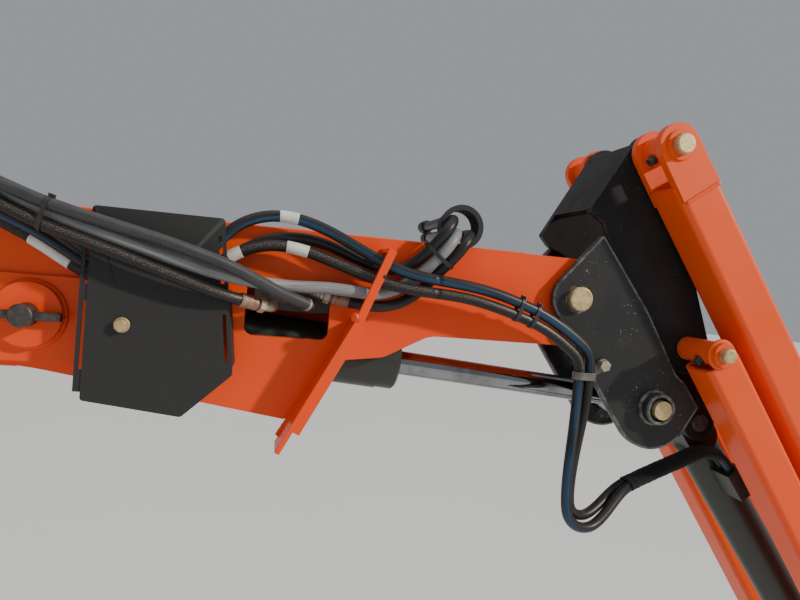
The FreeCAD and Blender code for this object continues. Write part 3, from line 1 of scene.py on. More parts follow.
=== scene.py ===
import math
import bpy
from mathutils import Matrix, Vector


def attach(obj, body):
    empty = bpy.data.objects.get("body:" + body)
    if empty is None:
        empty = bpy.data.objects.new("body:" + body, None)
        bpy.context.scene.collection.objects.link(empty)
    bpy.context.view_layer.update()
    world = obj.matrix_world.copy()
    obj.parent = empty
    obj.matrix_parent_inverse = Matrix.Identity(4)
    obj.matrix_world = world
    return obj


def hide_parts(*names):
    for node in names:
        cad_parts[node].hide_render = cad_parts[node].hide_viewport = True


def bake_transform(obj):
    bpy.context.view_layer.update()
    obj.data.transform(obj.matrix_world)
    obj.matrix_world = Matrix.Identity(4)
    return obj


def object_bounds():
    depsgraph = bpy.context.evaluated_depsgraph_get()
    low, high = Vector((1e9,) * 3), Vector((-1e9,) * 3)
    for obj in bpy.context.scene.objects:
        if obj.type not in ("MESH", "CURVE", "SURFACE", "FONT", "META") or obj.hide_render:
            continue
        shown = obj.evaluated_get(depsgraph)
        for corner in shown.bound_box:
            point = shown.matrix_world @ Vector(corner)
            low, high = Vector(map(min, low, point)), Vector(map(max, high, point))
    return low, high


bl_info = {
    "name": "Boom nose dressing",
    "version": (1, 0, 0),
    "blender": (4, 5, 0),
    "location": "View3D > Sidebar > Boom nose",
    "description": "Finishes, hoses, welds, bolts and labels for a boom lift's nose with its jib",
    "category": "Object",
}

import bmesh
import bpy
from bpy.props import FloatProperty, FloatVectorProperty, PointerProperty
from mathutils import Matrix, Vector

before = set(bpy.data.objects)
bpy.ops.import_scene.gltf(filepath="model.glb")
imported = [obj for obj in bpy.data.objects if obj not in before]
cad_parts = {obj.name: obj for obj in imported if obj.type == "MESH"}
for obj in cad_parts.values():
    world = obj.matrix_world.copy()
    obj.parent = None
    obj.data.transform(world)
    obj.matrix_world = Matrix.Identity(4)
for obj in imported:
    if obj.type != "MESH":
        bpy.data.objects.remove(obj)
CAD_BOX = [list(corner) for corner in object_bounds()]
MM = 0.001
LINK_WAY = Vector((0.5807, 0, -0.8141))
LINK_RISE = Vector((0.8141, 0, 0.5807))

# X and Z of the pair of loops from the woven sleeve's mouth to the jib cylinder.
SLEEVE_PATH = (
    (1006, -216.5), (1036, -202), (1066, -188.5), (1094, -176.5), (1115.5, -166.5), (1128, -163.5),
    (1140, -164.5), (1151.5, -168.5), (1161.5, -176.1), (1170, -187.1),
)

# Middle lines of the hoses in the boom's frame, in millimetres, as in the part's source.
ROUTES = {
    "conduit_hose": (
        (54, -88, 152.5), (86, -88, 152.5), (128, -89, 141), (176, -91, 123), (226, -97, 105),
        (275, -109, 88), (330, -118, 75), (385, -120, 63), (425, -121, 52.5), (462, -121, 41),
        (492, -117, 28), (516, -105, 16), (537, -92, 8), (551, -81, 3),
    ),
    "feed_hose": (
        (54, -66, 152.5), (86, -66, 152.5), (128, -69, 139), (176, -78, 112), (224, -94, 84),
        (277, -109, 64), (331, -118, 49), (380, -119.5, 33), (425, -117, 18), (450, -113, 10),
        (472, -106, 5), (492, -95, 1),
    ),
    "grey_cable": (
        (54, -44, 152.5), (86, -44, 152.5), (128, -50, 142), (176, -62, 124), (224, -82, 98),
        (272, -97, 79.5), (322, -109.5, 65.5), (368, -110.5, 52.5), (410, -110.5, 41), (446, -110, 32),
        (480, -105, 26.5), (508, -92, 23.5), (535, -83, 23), (570, -83, 25), (604, -82.5, 23.5),
        (630, -78, 21.5), (654, -73, 28.5), (676, -71.5, 42.5), (693, -75, 60), (706, -82, 76),
        (715.5, -84, 90), (721, -80, 97.5), (725.5, -72.5, 103.5), (728, -63, 106.5), (728.6, -46, 106.9),
        (727.4, -18, 106), (728, 24, 106.5), (728, 72, 106.5),
    ),
    "low_hose": (
        (580, -67.5, 13.5), (604, -68.5, 8.5), (634, -70.5, 6), (658, -70.5, 11), (678, -70, 22.5),
        (695.5, -71, 40), (710.5, -75, 59), (723.5, -82, 75), (733, -84, 89), (738.5, -80, 97),
        (743, -72.5, 102.5), (745.5, -63, 106), (745, -46, 106.5), (745.9, -18, 105.7), (745.3, 24, 106),
        (745.3, 72, 106),
    ),
    "outer_hose": (
        (54, -77, 128.5), (86, -77, 128.5), (128, -78, 114), (176, -80, 94), (222, -80.5, 75),
        (258, -82, 60), (290, -86, 42), (320, -89.5, 24), (352, -89.8, 13), (388, -89.8, 14),
        (418, -88, 32), (440, -84, 60), (464, -80, 89), (498, -76.5, 103.5), (534, -76, 102.5),
        (568, -78, 92), (600, -81, 77), (634, -85.5, 61), (668, -90, 48.5), (704, -90, 45.5),
    ),
    "inner_hose": (
        (54, -55, 128.5), (86, -55, 128.5), (126, -57, 112), (172, -64, 90), (216, -66.5, 68),
        (254, -70, 50), (288, -74, 30), (320, -75.8, 12), (354, -76, 3), (392, -76, 7), (422, -75.5, 24),
        (446, -76, 43), (472, -76.5, 60), (504, -76.5, 70), (540, -76.5, 67), (576, -78, 56),
        (608, -82, 46), (642, -88.5, 35.5), (672, -90, 31), (704, -90, 29.5),
    ),
    "high_hose": (
        (54, -33, 128.5), (86, -33, 128.5), (124, -38, 117), (166, -49, 111), (204, -62.5, 98),
        (236, -63, 81), (264, -62.5, 62), (290, -62.5, 43), (320, -62.3, 26), (354, -62.2, 17),
        (390, -62.2, 17.5), (420, -62, 27), (446, -62, 43), (470, -62, 60), (498, -62, 75), (532, -62, 82),
        (568, -62.5, 77), (602, -64, 64), (634, -65, 53), (660, -65, 54), (678, -70, 65), (690, -77, 79),
        (700.5, -82, 93), (710, -84, 106.5), (716, -80, 114), (720, -72.5, 120), (722.5, -63, 123),
        (723, -46, 122.5), (722, -18, 123.3), (722.6, 24, 123), (722.6, 72, 123),
    ),
    "outer_bend": (
        (704, -90, 45.5), (740, -90, 42.5), (778, -88.5, 36), (812, -86.5, 26.5), (844, -84, 15.5),
        (874, -81.5, 0.5), (897, -79.5, -14), (911.5, -78.2, -24.5), (918, -77.8, -33), (921, -77.8, -43),
        (921, -77.8, -61),
    ),
    "inner_bend": (
        (704, -90, 29.5), (736, -90, 28), (770, -89, 21.5), (804, -87, 12.5), (834, -84.5, 3),
        (862, -82, -10), (886, -79.5, -25.5), (899, -78.2, -35), (904.4, -77.8, -43), (907.3, -77.8, -52),
        (907.3, -77.8, -61),
    ),
    "outer_loop": (
        (921, -77.8, -61), (921, -77.8, -76), (918.5, -79.5, -104), (912.5, -83, -133), (906.5, -87, -163),
        (903.5, -88, -193), (905, -86, -219), (910, -82, -234.5), (919.5, -77.5, -244), (932, -72, -249),
        (946, -66, -249), (964, -58, -241.5), (985, -47.5, -229), *((x, -40.5, z) for x, z in SLEEVE_PATH),
    ),
    "inner_loop": (
        (907.3, -77.8, -61), (907.3, -77.8, -78), (904, -83.5, -105), (899.5, -91, -133), (895, -97, -163),
        (893.5, -98.5, -195), (896, -97.5, -226), (902.5, -94, -242.5), (914.5, -89.5, -254.5),
        (930.5, -84, -261), (948, -78, -261), (967, -71, -250), (986.5, -62, -233),
        *((x, -54.7, z) for x, z in SLEEVE_PATH),
    ),
}
# Hose, how it looks, the bodies that it joins, and where its bend starts and ends.
HOSES = (
    # piece, material, bodies, bend start, bend end
    ("feed_hose", "printed_hose", ("boom",), None, None),
    ("grey_cable", "grey_cable", ("boom",), None, None),
    ("low_hose", "black_hose", ("boom",), None, None),
    ("outer_hose", "striped_hose", ("boom",), None, None),
    ("inner_hose", "printed_hose", ("boom",), None, None),
    ("high_hose", "black_hose", ("boom",), None, None),
    ("outer_bend", "striped_hose", ("boom", "knuckle"), (790, -88, 30), (918, -78, -40)),
    ("inner_bend", "printed_hose", ("boom", "knuckle"), (790, -88, 18), (905, -78, -45)),
    ("outer_loop", "black_hose", ("knuckle", "jib_barrel"), (915, -84, -150), (1130, -48, -165)),
    ("inner_loop", "striped_hose", ("knuckle", "jib_barrel"), (905, -90, -150), (1130, -48, -165)),
)


def place_of(x, y, z):
    """A place given in millimetres, in metres."""
    return Vector((x, y, z)) * MM


def deselect():
    if bpy.context.mode != "OBJECT":
        bpy.ops.object.mode_set(mode="OBJECT")
    bpy.ops.object.select_all(action="DESELECT")


def finish_piece(piece, name, material, body, replaces=()):
    """Names a finished piece, gives it its finish and lets it ride on its body."""
    piece.name = name
    piece.data.name = name
    piece.data.materials.clear()
    piece.data.materials.append(bpy.data.materials[material])
    if body:
        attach(piece, body)
    for node in replaces:
        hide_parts(node)
    return piece


def settle(piece):
    """Puts a piece's place into its mesh."""
    piece.data.transform(piece.matrix_world)
    piece.matrix_world = Matrix.Identity(4)
    return piece


def pick(*pieces):
    """Selects these pieces alone, with the first one active."""
    deselect()
    for piece in pieces:
        piece.select_set(True)
    bpy.context.view_layer.objects.active = pieces[0]


def remove(*pieces):
    for piece in pieces:
        bpy.data.objects.remove(piece)


def smooth_by_angle(piece, degrees):
    pick(piece)
    bpy.ops.object.shade_smooth_by_angle(angle=math.radians(degrees))


# Materials


def add_node(tree, kind, settings=None, **sockets):
    """A shader node with its settings; a socket is told by its name, or by i and its number."""
    node = tree.nodes.new(kind)
    for name, value in (settings or {}).items():
        setattr(node, name, value)
    for name, value in sockets.items():
        numbered = name[0] == "i" and name[1:].isdigit()
        socket = node.inputs[int(name[1:]) if numbered else name.replace("_", " ")]
        if isinstance(value, bpy.types.NodeSocket):
            tree.links.new(value, socket)
        else:
            socket.default_value = value
    return node


def wire(tree, inputs, **values):
    """Links values to inputs, whose names are written with underscores."""
    for name, value in values.items():
        tree.links.new(value, inputs[name.replace("_", " ")])


def mix_colour(tree, factor, first, second):
    return add_node(tree, "ShaderNodeMix", {"data_type": "RGBA"}, i0=factor, i6=first, i7=second).outputs[2]


def maths(tree, operation, first, second=0.0, clamp=False):
    node = add_node(tree, "ShaderNodeMath", {"operation": operation, "use_clamp": clamp}, i0=first, i1=second)
    return node.outputs[0]


def product(tree, value, *factors):
    for factor in factors:
        value = maths(tree, "MULTIPLY", value, factor)
    return value


def stretch(tree, value, low, high, new_low=0.0, new_high=1.0):
    """A value's range moved to another, without going past its ends."""
    node = add_node(tree, "ShaderNodeMapRange", None, Value=value, From_Min=low, From_Max=high,
                    To_Min=new_low, To_Max=new_high)
    return node.outputs[0]


def coordinates(tree, kind):
    return add_node(tree, "ShaderNodeTexCoord").outputs[kind]


def scaled(tree, vector, scale, turn=(0, 0, 0)):
    return add_node(tree, "ShaderNodeMapping", None, Vector=vector, Scale=scale, Rotation=turn).outputs[0]


def object_place(tree, scale=(1, 1, 1), turn=(0, 0, 0)):
    return scaled(tree, coordinates(tree, "Object"), scale, turn)


def noise(tree, scale, detail, roughness=0.55, where=None):
    """Noise over the object's own coordinates, or over others where they are given."""
    vector = object_place(tree) if where is None else where
    node = add_node(tree, "ShaderNodeTexNoise", None, Vector=vector, Scale=scale, Detail=detail,
                    Roughness=roughness)
    return node.outputs[0]


def new_group(name, inputs, outputs):
    """A shader node group with its sockets: (name, kind, default) in, (name, kind) out."""
    tree = bpy.data.node_groups.new(name, "ShaderNodeTree")
    for socket, kind, default in inputs:
        made = tree.interface.new_socket(socket, in_out="INPUT", socket_type=kind)
        made.default_value = default
    for socket, kind in outputs:
        tree.interface.new_socket(socket, in_out="OUTPUT", socket_type=kind)
    return tree, tree.nodes.new("NodeGroupInput").outputs, tree.nodes.new("NodeGroupOutput").inputs


COLOUR, NUMBER, VECTOR = "NodeSocketColor", "NodeSocketFloat", "NodeSocketVector"


def dust_group():
    """Dust that lies on what faces up, thin and patchy elsewhere."""
    tree, given, made = new_group("lying_dust", (
        ("Colour", COLOUR, (0.1, 0.1, 0.1, 1)), ("Dust", COLOUR, (0.35, 0.28, 0.2, 1)),
        ("On Top", NUMBER, 0.5), ("All Over", NUMBER, 0.1), ("Scale", NUMBER, 12.0)),
        (("Colour", COLOUR), ("Mask", NUMBER)))
    normal = add_node(tree, "ShaderNodeNewGeometry").outputs["Normal"]
    up = add_node(tree, "ShaderNodeSeparateXYZ", None, Vector=normal).outputs["Z"]
    patches = stretch(tree, noise(tree, given["Scale"], 6.0, 0.65), 0.35, 0.7)
    top = product(tree, stretch(tree, up, 0.3, 0.95), given["On Top"])
    spread = stretch(tree, patches, 0.0, 1.0, 0.45, 1.0)
    film = product(tree, patches, given["All Over"])
    mask = maths(tree, "ADD", product(tree, top, spread), film, clamp=True)
    wire(tree, made, Colour=mix_colour(tree, mask, given["Colour"], given["Dust"]), Mask=mask)


def edge_group():
    """Wear along edges, also used as a painted highlight along edges, and the rounded edge's normal."""
    tree, given, made = new_group("edge_wear_and_highlight", (
        ("Colour", COLOUR, (0.1, 0.1, 0.1, 1)), ("Bare", COLOUR, (0.3, 0.3, 0.3, 1)),
        ("Width", NUMBER, 0.002), ("Amount", NUMBER, 0.5), ("Scale", NUMBER, 60.0)),
        (("Colour", COLOUR), ("Mask", NUMBER), ("Normal", VECTOR)))
    normal = add_node(tree, "ShaderNodeNewGeometry").outputs["Normal"]
    rounded = add_node(tree, "ShaderNodeBevel", {"samples": 4}, Radius=given["Width"]).outputs[0]
    match = add_node(tree, "ShaderNodeVectorMath", {"operation": "DOT_PRODUCT"}, i0=normal, i1=rounded)
    edge = stretch(tree, match.outputs["Value"], 0.992, 0.88)
    patches = stretch(tree, noise(tree, given["Scale"], 5.0, 0.7), 0.36, 0.56)
    mask = maths(tree, "MULTIPLY", product(tree, edge, patches), given["Amount"], clamp=True)
    mixed = mix_colour(tree, mask, given["Colour"], given["Bare"])
    wire(tree, made, Colour=mixed, Mask=mask, Normal=rounded)


def scratch_group():
    """Fine scratches and small chips."""
    tree, given, made = new_group("scratches", (
        ("Colour", COLOUR, (0.1, 0.1, 0.1, 1)), ("Mark", COLOUR, (0.4, 0.4, 0.4, 1)),
        ("Lines", NUMBER, 0.4), ("Chips", NUMBER, 0.4)),
        (("Colour", COLOUR), ("Mask", NUMBER)))
    masks = []
    for turn, fine, rare in ((0.35, 150, 0.69), (-1.1, 120, 0.70), (1.3, 190, 0.71)):
        streaks = noise(tree, 1.0, 3.0, 0.5, object_place(tree, (fine, fine, 14), (0, turn, 0)))
        masks.append(stretch(tree, streaks, rare, rare + 0.03))
    lines = maths(tree, "MAXIMUM", maths(tree, "MAXIMUM", masks[0], masks[1]), masks[2])
    where = stretch(tree, noise(tree, 7.0, 3.0), 0.54, 0.66)
    lines = product(tree, lines, where, given["Lines"])
    chips = stretch(tree, noise(tree, 300.0, 2.0, 0.5), 0.695, 0.715)
    some = stretch(tree, noise(tree, 17.0, 2.0), 0.5, 0.6)
    mask = maths(tree, "MAXIMUM", lines, product(tree, chips, some, given["Chips"]), clamp=True)
    wire(tree, made, Colour=mix_colour(tree, mask, given["Colour"], given["Mark"]), Mask=mask)


def use_group(tree, name, **sockets):
    return add_node(tree, "ShaderNodeGroup", {"node_tree": bpy.data.node_groups[name]}, **sockets).outputs


def new_material(name, **shader):
    """A material's tree and its shader's inputs, with the plain values set on their own sockets."""
    material = bpy.data.materials.new(name)
    material.use_nodes = True
    surface = material.node_tree.nodes["Principled BSDF"].inputs
    for socket, value in shader.items():
        surface[socket.replace("_", " ")].default_value = value
    return material.node_tree, surface


def bump(tree, height, strength, distance, normal=None):
    node = add_node(tree, "ShaderNodeBump", None, Height=height, Strength=strength, Distance=distance)
    if normal is not None:
        tree.links.new(normal, node.inputs["Normal"])
    return node.outputs[0]


def rgba(colour, factor=1.0):
    return (*(min(1, part * factor) for part in colour), 1.0)


def paint_material(name, colour, faded, bare, gloss, coat, dust, wear_and_highlight, lines, chips=0.3, edge=0.0016,
                   shine=0.3):
    """Sprayed paint: faded in patches, orange peel, chips, worn edges and dust; on some paints the worn edges
    are pale and wide as a painted highlight.
    """
    tree, surface = new_material(name, Coat_Weight=coat, Coat_Roughness=0.12, Specular_IOR_Level=shine)
    fade = stretch(tree, noise(tree, 3.2, 5.0, 0.6), 0.35, 0.68)
    base = mix_colour(tree, fade, rgba(colour), rgba(faded))
    # Worn edges; where the amount is high and the colour pale, they are also a painted highlight along the
    # edge.
    worn = use_group(tree, "edge_wear_and_highlight", Colour=base, Bare=rgba(bare), Width=edge, Amount=wear_and_highlight)
    marked = use_group(tree, "scratches", Colour=worn["Colour"], Mark=rgba(bare), Lines=lines, Chips=chips)
    dusty = use_group(tree, "lying_dust", Colour=marked["Colour"], On_Top=dust, All_Over=dust * 0.35)
    blotch = stretch(tree, noise(tree, 14.0, 5.0, 0.6), 0.3, 0.75, gloss, gloss + 0.14)
    rough = maths(tree, "ADD", blotch, product(tree, dusty["Mask"], 0.35), clamp=True)
    peel = bump(tree, noise(tree, 420.0, 2.0, 0.5), 0.06, 0.0006, worn["Normal"])
    wire(tree, surface, Base_Color=dusty["Colour"], Roughness=rough, Normal=peel)


def steel_material(name, colour, second, metal, rough, scale, spotted=0.3):
    """Plated or oxidised steel in two speckled colours."""
    tree, surface = new_material(name)
    grain = stretch(tree, noise(tree, scale, 6.0, 0.7), 0.38, 0.64)
    spots = stretch(tree, noise(tree, scale * 2.7, 3.0, 0.6), 0.62, 0.68)
    base = mix_colour(tree, grain, rgba(colour), rgba(second))
    base = mix_colour(tree, product(tree, spots, spotted), base, (0.12, 0.09, 0.05, 1))
    worn = use_group(tree, "edge_wear_and_highlight", Colour=base, Bare=rgba(colour, 1.35), Width=0.0012, Amount=0.5)
    wire(tree, surface, Base_Color=worn["Colour"], Roughness=stretch(tree, grain, 0, 1, rough, rough + 0.2),
         Metallic=stretch(tree, spots, 0, 1, metal, metal * 0.4),
         Normal=bump(tree, grain, 0.25, 0.0003, worn["Normal"]))


def chrome_material():
    """Hard chrome: fine rings round the rod, smeared with oil and dust, its colour darkened as a painted
    reflection of dark ground.
    """
    tree, surface = new_material("chromed_rod", Metallic=1.0)
    rings = noise(tree, 1.0, 3.0, 0.5, object_place(tree, (4, 260, 4)))
    smear = stretch(tree, noise(tree, 22.0, 5.0, 0.65), 0.45, 0.75)
    # The chrome's dark colours are a painted reflection of dark ground; the darker smear is oil.
    base = mix_colour(tree, smear, (0.30, 0.31, 0.33, 1), (0.17, 0.16, 0.15, 1))
    wire(tree, surface, Base_Color=base, Roughness=stretch(tree, smear, 0, 1, 0.07, 0.26),
         Normal=bump(tree, rings, 0.03, 0.0002))


def band_round(tree, around, middle, outside, inside):
    """A band along a hose, at a share of a turn round it."""
    away = maths(tree, "ABSOLUTE", maths(tree, "SUBTRACT", around, middle))
    return stretch(tree, away, outside, inside)


def hose_material(name, colour, dusty, stripe=None, printed=0.0):
    """Rubber hose: stripe and rubbed print follow the hose's own length."""
    tree, surface = new_material(name, Specular_IOR_Level=0.32)
    uv = coordinates(tree, "UV")
    around = add_node(tree, "ShaderNodeSeparateXYZ", None, Vector=uv).outputs["Y"]
    patches = stretch(tree, noise(tree, 30.0, 4.0, where=uv), 0.3, 0.7)
    base = mix_colour(tree, patches, rgba(colour), rgba(colour, 1.9))
    if stripe:
        waxed = stretch(tree, noise(tree, 9.0, 3.0, where=uv), 0.40, 0.52)
        amount = product(tree, band_round(tree, around, 0.32, 0.10, 0.07), waxed)
        base = mix_colour(tree, amount, base, rgba(stripe))
    if printed:
        specks = noise(tree, 1.0, 3.0, 0.8, scaled(tree, uv, (520, 34, 1)))
        rubbed = stretch(tree, specks, 0.5, 0.62)
        amount = product(tree, band_round(tree, around, 0.20, 0.085, 0.04), rubbed, printed)
        base = mix_colour(tree, amount, base, (0.33, 0.25, 0.20, 1))
    grime = use_group(tree, "lying_dust", Colour=base, Dust=(0.25, 0.21, 0.17, 1), On_Top=dusty,
                      All_Over=dusty * 0.5, Scale=35.0)
    wrap = noise(tree, 1.0, 2.0, where=scaled(tree, uv, (900, 60, 1)))
    wire(tree, surface, Base_Color=grime["Colour"], Normal=bump(tree, wrap, 0.12, 0.0004),
         Roughness=stretch(tree, grime["Mask"], 0, 0.6, 0.38, 0.7))


def woven_material():
    """Braided sleeve: two crossing sets of strands that follow its own length."""
    tree, surface = new_material("woven_sleeve", Sheen_Weight=0.08, Roughness=0.8, Specular_IOR_Level=0.2)
    uv = coordinates(tree, "UV")
    strands = []
    for turn in (0.72, -0.72):
        laid = scaled(tree, uv, (380, 15, 1), (0, 0, turn))
        wave = add_node(tree, "ShaderNodeTexWave", {"bands_direction": "X"}, Vector=laid, Scale=0.32)
        strands.append(wave.outputs["Fac"])
    weave = maths(tree, "MAXIMUM", *strands)
    wire(tree, surface, Normal=bump(tree, weave, 0.8, 0.0008),
         Base_Color=mix_colour(tree, weave, (0.004, 0.004, 0.004, 1), (0.020, 0.020, 0.021, 1)))


def plastic_material(name, colour, second, rough):
    """Plastic, rubber or paper: two near colours in fine patches, with a slightly rough skin."""
    tree, surface = new_material(name)
    grain = noise(tree, 45.0, 6.0, 0.65)
    base = mix_colour(tree, stretch(tree, grain, 0.35, 0.68), rgba(colour), rgba(second))
    dusty = use_group(tree, "lying_dust", Colour=base, On_Top=0.08, All_Over=0.03, Scale=40.0)
    wire(tree, surface, Base_Color=dusty["Colour"], Normal=bump(tree, grain, 0.3, 0.0003),
         Roughness=stretch(tree, grain, 0.3, 0.7, rough, rough + 0.2))


# Shapes


class Way:
    """A smooth line through the places of a route, measured along its length."""

    def __init__(self, places):
        curve = bpy.data.curves.new("way", "CURVE")
        curve.dimensions = "3D"
        curve.resolution_u = 8
        spline = curve.splines.new("NURBS")
        spline.points.add(len(places) - 1)
        for point, place in zip(spline.points, places):
            point.co = (*place_of(*place), 1.0)
        spline.order_u = 3
        spline.use_endpoint_u = True
        holder = bpy.data.objects.new("way", curve)
        mesh = bpy.data.meshes.new_from_object(holder)
        self.points = [vertex.co.copy() for vertex in mesh.vertices]
        bpy.data.objects.remove(holder)
        bpy.data.curves.remove(curve)
        bpy.data.meshes.remove(mesh)
        self.reach = [0.0]
        for before, after in zip(self.points, self.points[1:]):
            self.reach.append(self.reach[-1] + (after - before).length)
        self.length = self.reach[-1]

    def at(self, distance):
        """The place and the direction at a distance from the start."""
        distance = min(max(distance, 0.0), self.length)
        index = 0
        while index < len(self.reach) - 2 and self.reach[index + 1] < distance:
            index += 1
        before, after = self.points[index], self.points[index + 1]
        share = (distance - self.reach[index]) / max(self.reach[index + 1] - self.reach[index], 1e-9)
        return before.lerp(after, share), (after - before).normalized()

    def nearest(self, place):
        """The distance from the start of the point that is nearest to a place."""
        steps = [self.length * step / 600 for step in range(601)]
        return min(steps, key=lambda distance: (self.at(distance)[0] - place).length)


def object_of(shape, name):
    """An object of the mesh that was built, with its faces turned outward."""
    bmesh.ops.recalc_face_normals(shape, faces=shape.faces)
    mesh = bpy.data.meshes.new(name)
    shape.to_mesh(mesh)
    shape.free()
    piece = bpy.data.objects.new(name, mesh)
    bpy.context.scene.collection.objects.link(piece)
    return piece


def tube(name, way, stops, sides=20, squash=(1.0, 1.0)):
    """A closed tube along a way; each stop is (distance, radius). UV is metres along and turns round."""
    shape = bmesh.new()
    layer = shape.loops.layers.uv.new("UVMap")
    start = way.at(stops[0][0])[1]
    side = Vector((0, 0, 1)) if abs(start.z) < 0.9 else Vector((1, 0, 0))
    rings = []
    for distance, radius in stops:
        place, ahead = way.at(distance)
        side = (side - ahead * side.dot(ahead)).normalized()
        across = ahead.cross(side)
        ring = []
        for step in range(sides):
            angle = 2 * math.pi * step / sides
            up, out = math.cos(angle) * radius * squash[0], math.sin(angle) * radius * squash[1]
            ring.append(shape.verts.new(place + side * up + across * out))
        rings.append((distance, ring))
    for (low, first), (high, second) in zip(rings, rings[1:]):
        for step in range(sides):
            following = (step + 1) % sides
            face = shape.faces.new((first[step], first[following], second[following], second[step]))
            face.smooth = True
            around = ((low, step), (low, step + 1), (high, step + 1), (high, step))
            for loop, (along, turn) in zip(face.loops, around):
                loop[layer].uv = (along, turn / sides)
    shape.faces.new(list(reversed(rings[0][1])))
    shape.faces.new(rings[-1][1])
    return object_of(shape, name)


def prism(corners, near, far):
    """A flat shape of the side view, given in millimetres, made thick along Y."""
    shape = bmesh.new()
    sides = [[shape.verts.new(place_of(x, y, z)) for x, z in corners] for y in (near, far)]
    shape.faces.new(sides[0])
    shape.faces.new(list(reversed(sides[1])))
    for step in range(len(corners)):
        following = (step + 1) % len(corners)
        shape.faces.new((sides[0][step], sides[1][step], sides[1][following], sides[0][following]))
    return object_of(shape, "prism")


def even_stops(length, radius, spacing=0.006):
    count = max(2, int(length / spacing))
    return [(length * step / count, radius) for step in range(count + 1)]


def turned_piece(profile, sides=32, smooth=0):
    """A turned piece along Z, drawn up from a disc ring by ring; each ring is (height, radius)."""
    deselect()
    height, radius = profile[0]
    bpy.ops.mesh.primitive_circle_add(vertices=sides, radius=radius, fill_type="NGON",
                                      location=(0, 0, height))
    piece = settle(bpy.context.object)
    bpy.ops.object.mode_set(mode="EDIT")
    bpy.ops.mesh.select_all(action="SELECT")
    for (low, first), (high, second) in zip(profile, profile[1:]):
        bpy.ops.mesh.extrude_region_move(TRANSFORM_OT_translate={"value": (0, 0, high - low)})
        if abs(second - first) > 1e-7:
            bpy.ops.transform.resize(value=(second / first, second / first, 1))
    bpy.ops.mesh.select_all(action="SELECT")
    bpy.ops.mesh.normals_make_consistent(inside=False)
    bpy.ops.object.mode_set(mode="OBJECT")
    if smooth:
        smooth_by_angle(piece, smooth)
    return piece


def join_pieces(*pieces):
    pick(*pieces)
    bpy.ops.object.join()
    return pieces[0]


def aimed_copy(source, place, way, roll=0.0):
    """A copy with its own mesh, its foot at a place and its Z along a direction."""
    piece = source.copy()
    piece.data = source.data.copy()
    bpy.context.scene.collection.objects.link(piece)
    turn = Vector(way).to_track_quat("Z", "Y").to_matrix().to_4x4()
    piece.data.transform(Matrix.Translation(place) @ turn @ Matrix.Rotation(roll, 4, "Z"))
    return piece


def hex_bolt(across, tall, washer, washer_tall):
    """A hexagon head with a chamfered top on a round washer."""
    corner = across / math.sqrt(3)
    shoulder, top, crown_foot, crown_top = (
        washer_tall + tall * share for share in (0.86, 1.0, 0.9, 1.02))
    head = turned_piece(((washer_tall, corner), (shoulder, corner), (top, corner * 0.9)), 6)
    plate = turned_piece(((0, washer), (washer_tall * 0.75, washer), (washer_tall, washer * 0.94)), 36)
    crown = turned_piece(((crown_foot, across * 0.42), (crown_top, across * 0.4)), 28)
    bolt = join_pieces(head, plate, crown)
    smooth_by_angle(bolt, 30)
    return bolt


# From one drop of weld metal to the next.
WELD_DROP = 0.0022


def bead(name, places, radius):
    """A weld bead: a low tube with one swelling for each drop of metal."""
    way = Way(places)
    count = 3 * max(3, int(way.length / WELD_DROP))
    stops = []
    for step in range(count + 1):
        share = step / count
        swell = (0.9, 1.06, 1.0)[step % 3]
        taper = min(1.0, 0.4 + 6 * min(share, 1 - share) * way.length / (radius * 4))
        stops.append((share * way.length, radius * swell * taper))
    return tube(name, way, stops, 10)


def ring_places(x, y, z, radius, steps=24):
    """Places once round a circle of the side view."""
    angles = [2 * math.pi * step / steps for step in range(steps + 1)]
    return [(x + radius * math.cos(angle), y, z + radius * math.sin(angle)) for angle in angles]


# Sizes and colours that a user would change


def length(name, description, default):
    return FloatProperty(name=name, description=description, default=default, unit="LENGTH")


def paint_colour(name, description, default):
    return FloatVectorProperty(name=name, description=description, default=default, subtype="COLOR")


class NoseSizes(bpy.types.PropertyGroup):
    hose: length("Hose radius", "Radius of the hydraulic hoses", 0.0067)
    cable: length("Cable radius", "Radius of the grey cable", 0.0073)
    conduit: length("Conduit radius", "Radius over the conduit's ribs", 0.007)
    rib: length("Rib spacing", "From one rib of the conduit to the next", 0.0019)
    tie: length("Tie width", "Width of the cable ties", 0.0048)
    weld: length("Weld size", "Radius of the weld beads", 0.0032)


class NoseColours(bpy.types.PropertyGroup):
    boom: paint_colour("Boom paint", "Paint of the boom nose", (0.92, 0.060, 0.0))
    links: paint_colour("Link paint", "Paint of the jib's links", (0.92, 0.072, 0.002))
    # Knuckle black is kept darker than the shields' as painted shade, for the shade that the knuckle's plates
    # lie in.
    black: paint_colour("Knuckle paint", "Paint of the knuckle's plates", (0.009, 0.010, 0.0115))
    zinc: paint_colour("Plated pins", "Plating of the pins and bolts", (0.50, 0.36, 0.16))


def sizes():
    return bpy.context.scene.nose_sizes


def colours():
    return bpy.context.scene.nose_colours


def hose_radius(node):
    return sizes().cable if node == "grey_cable" else sizes().hose


# Finishes


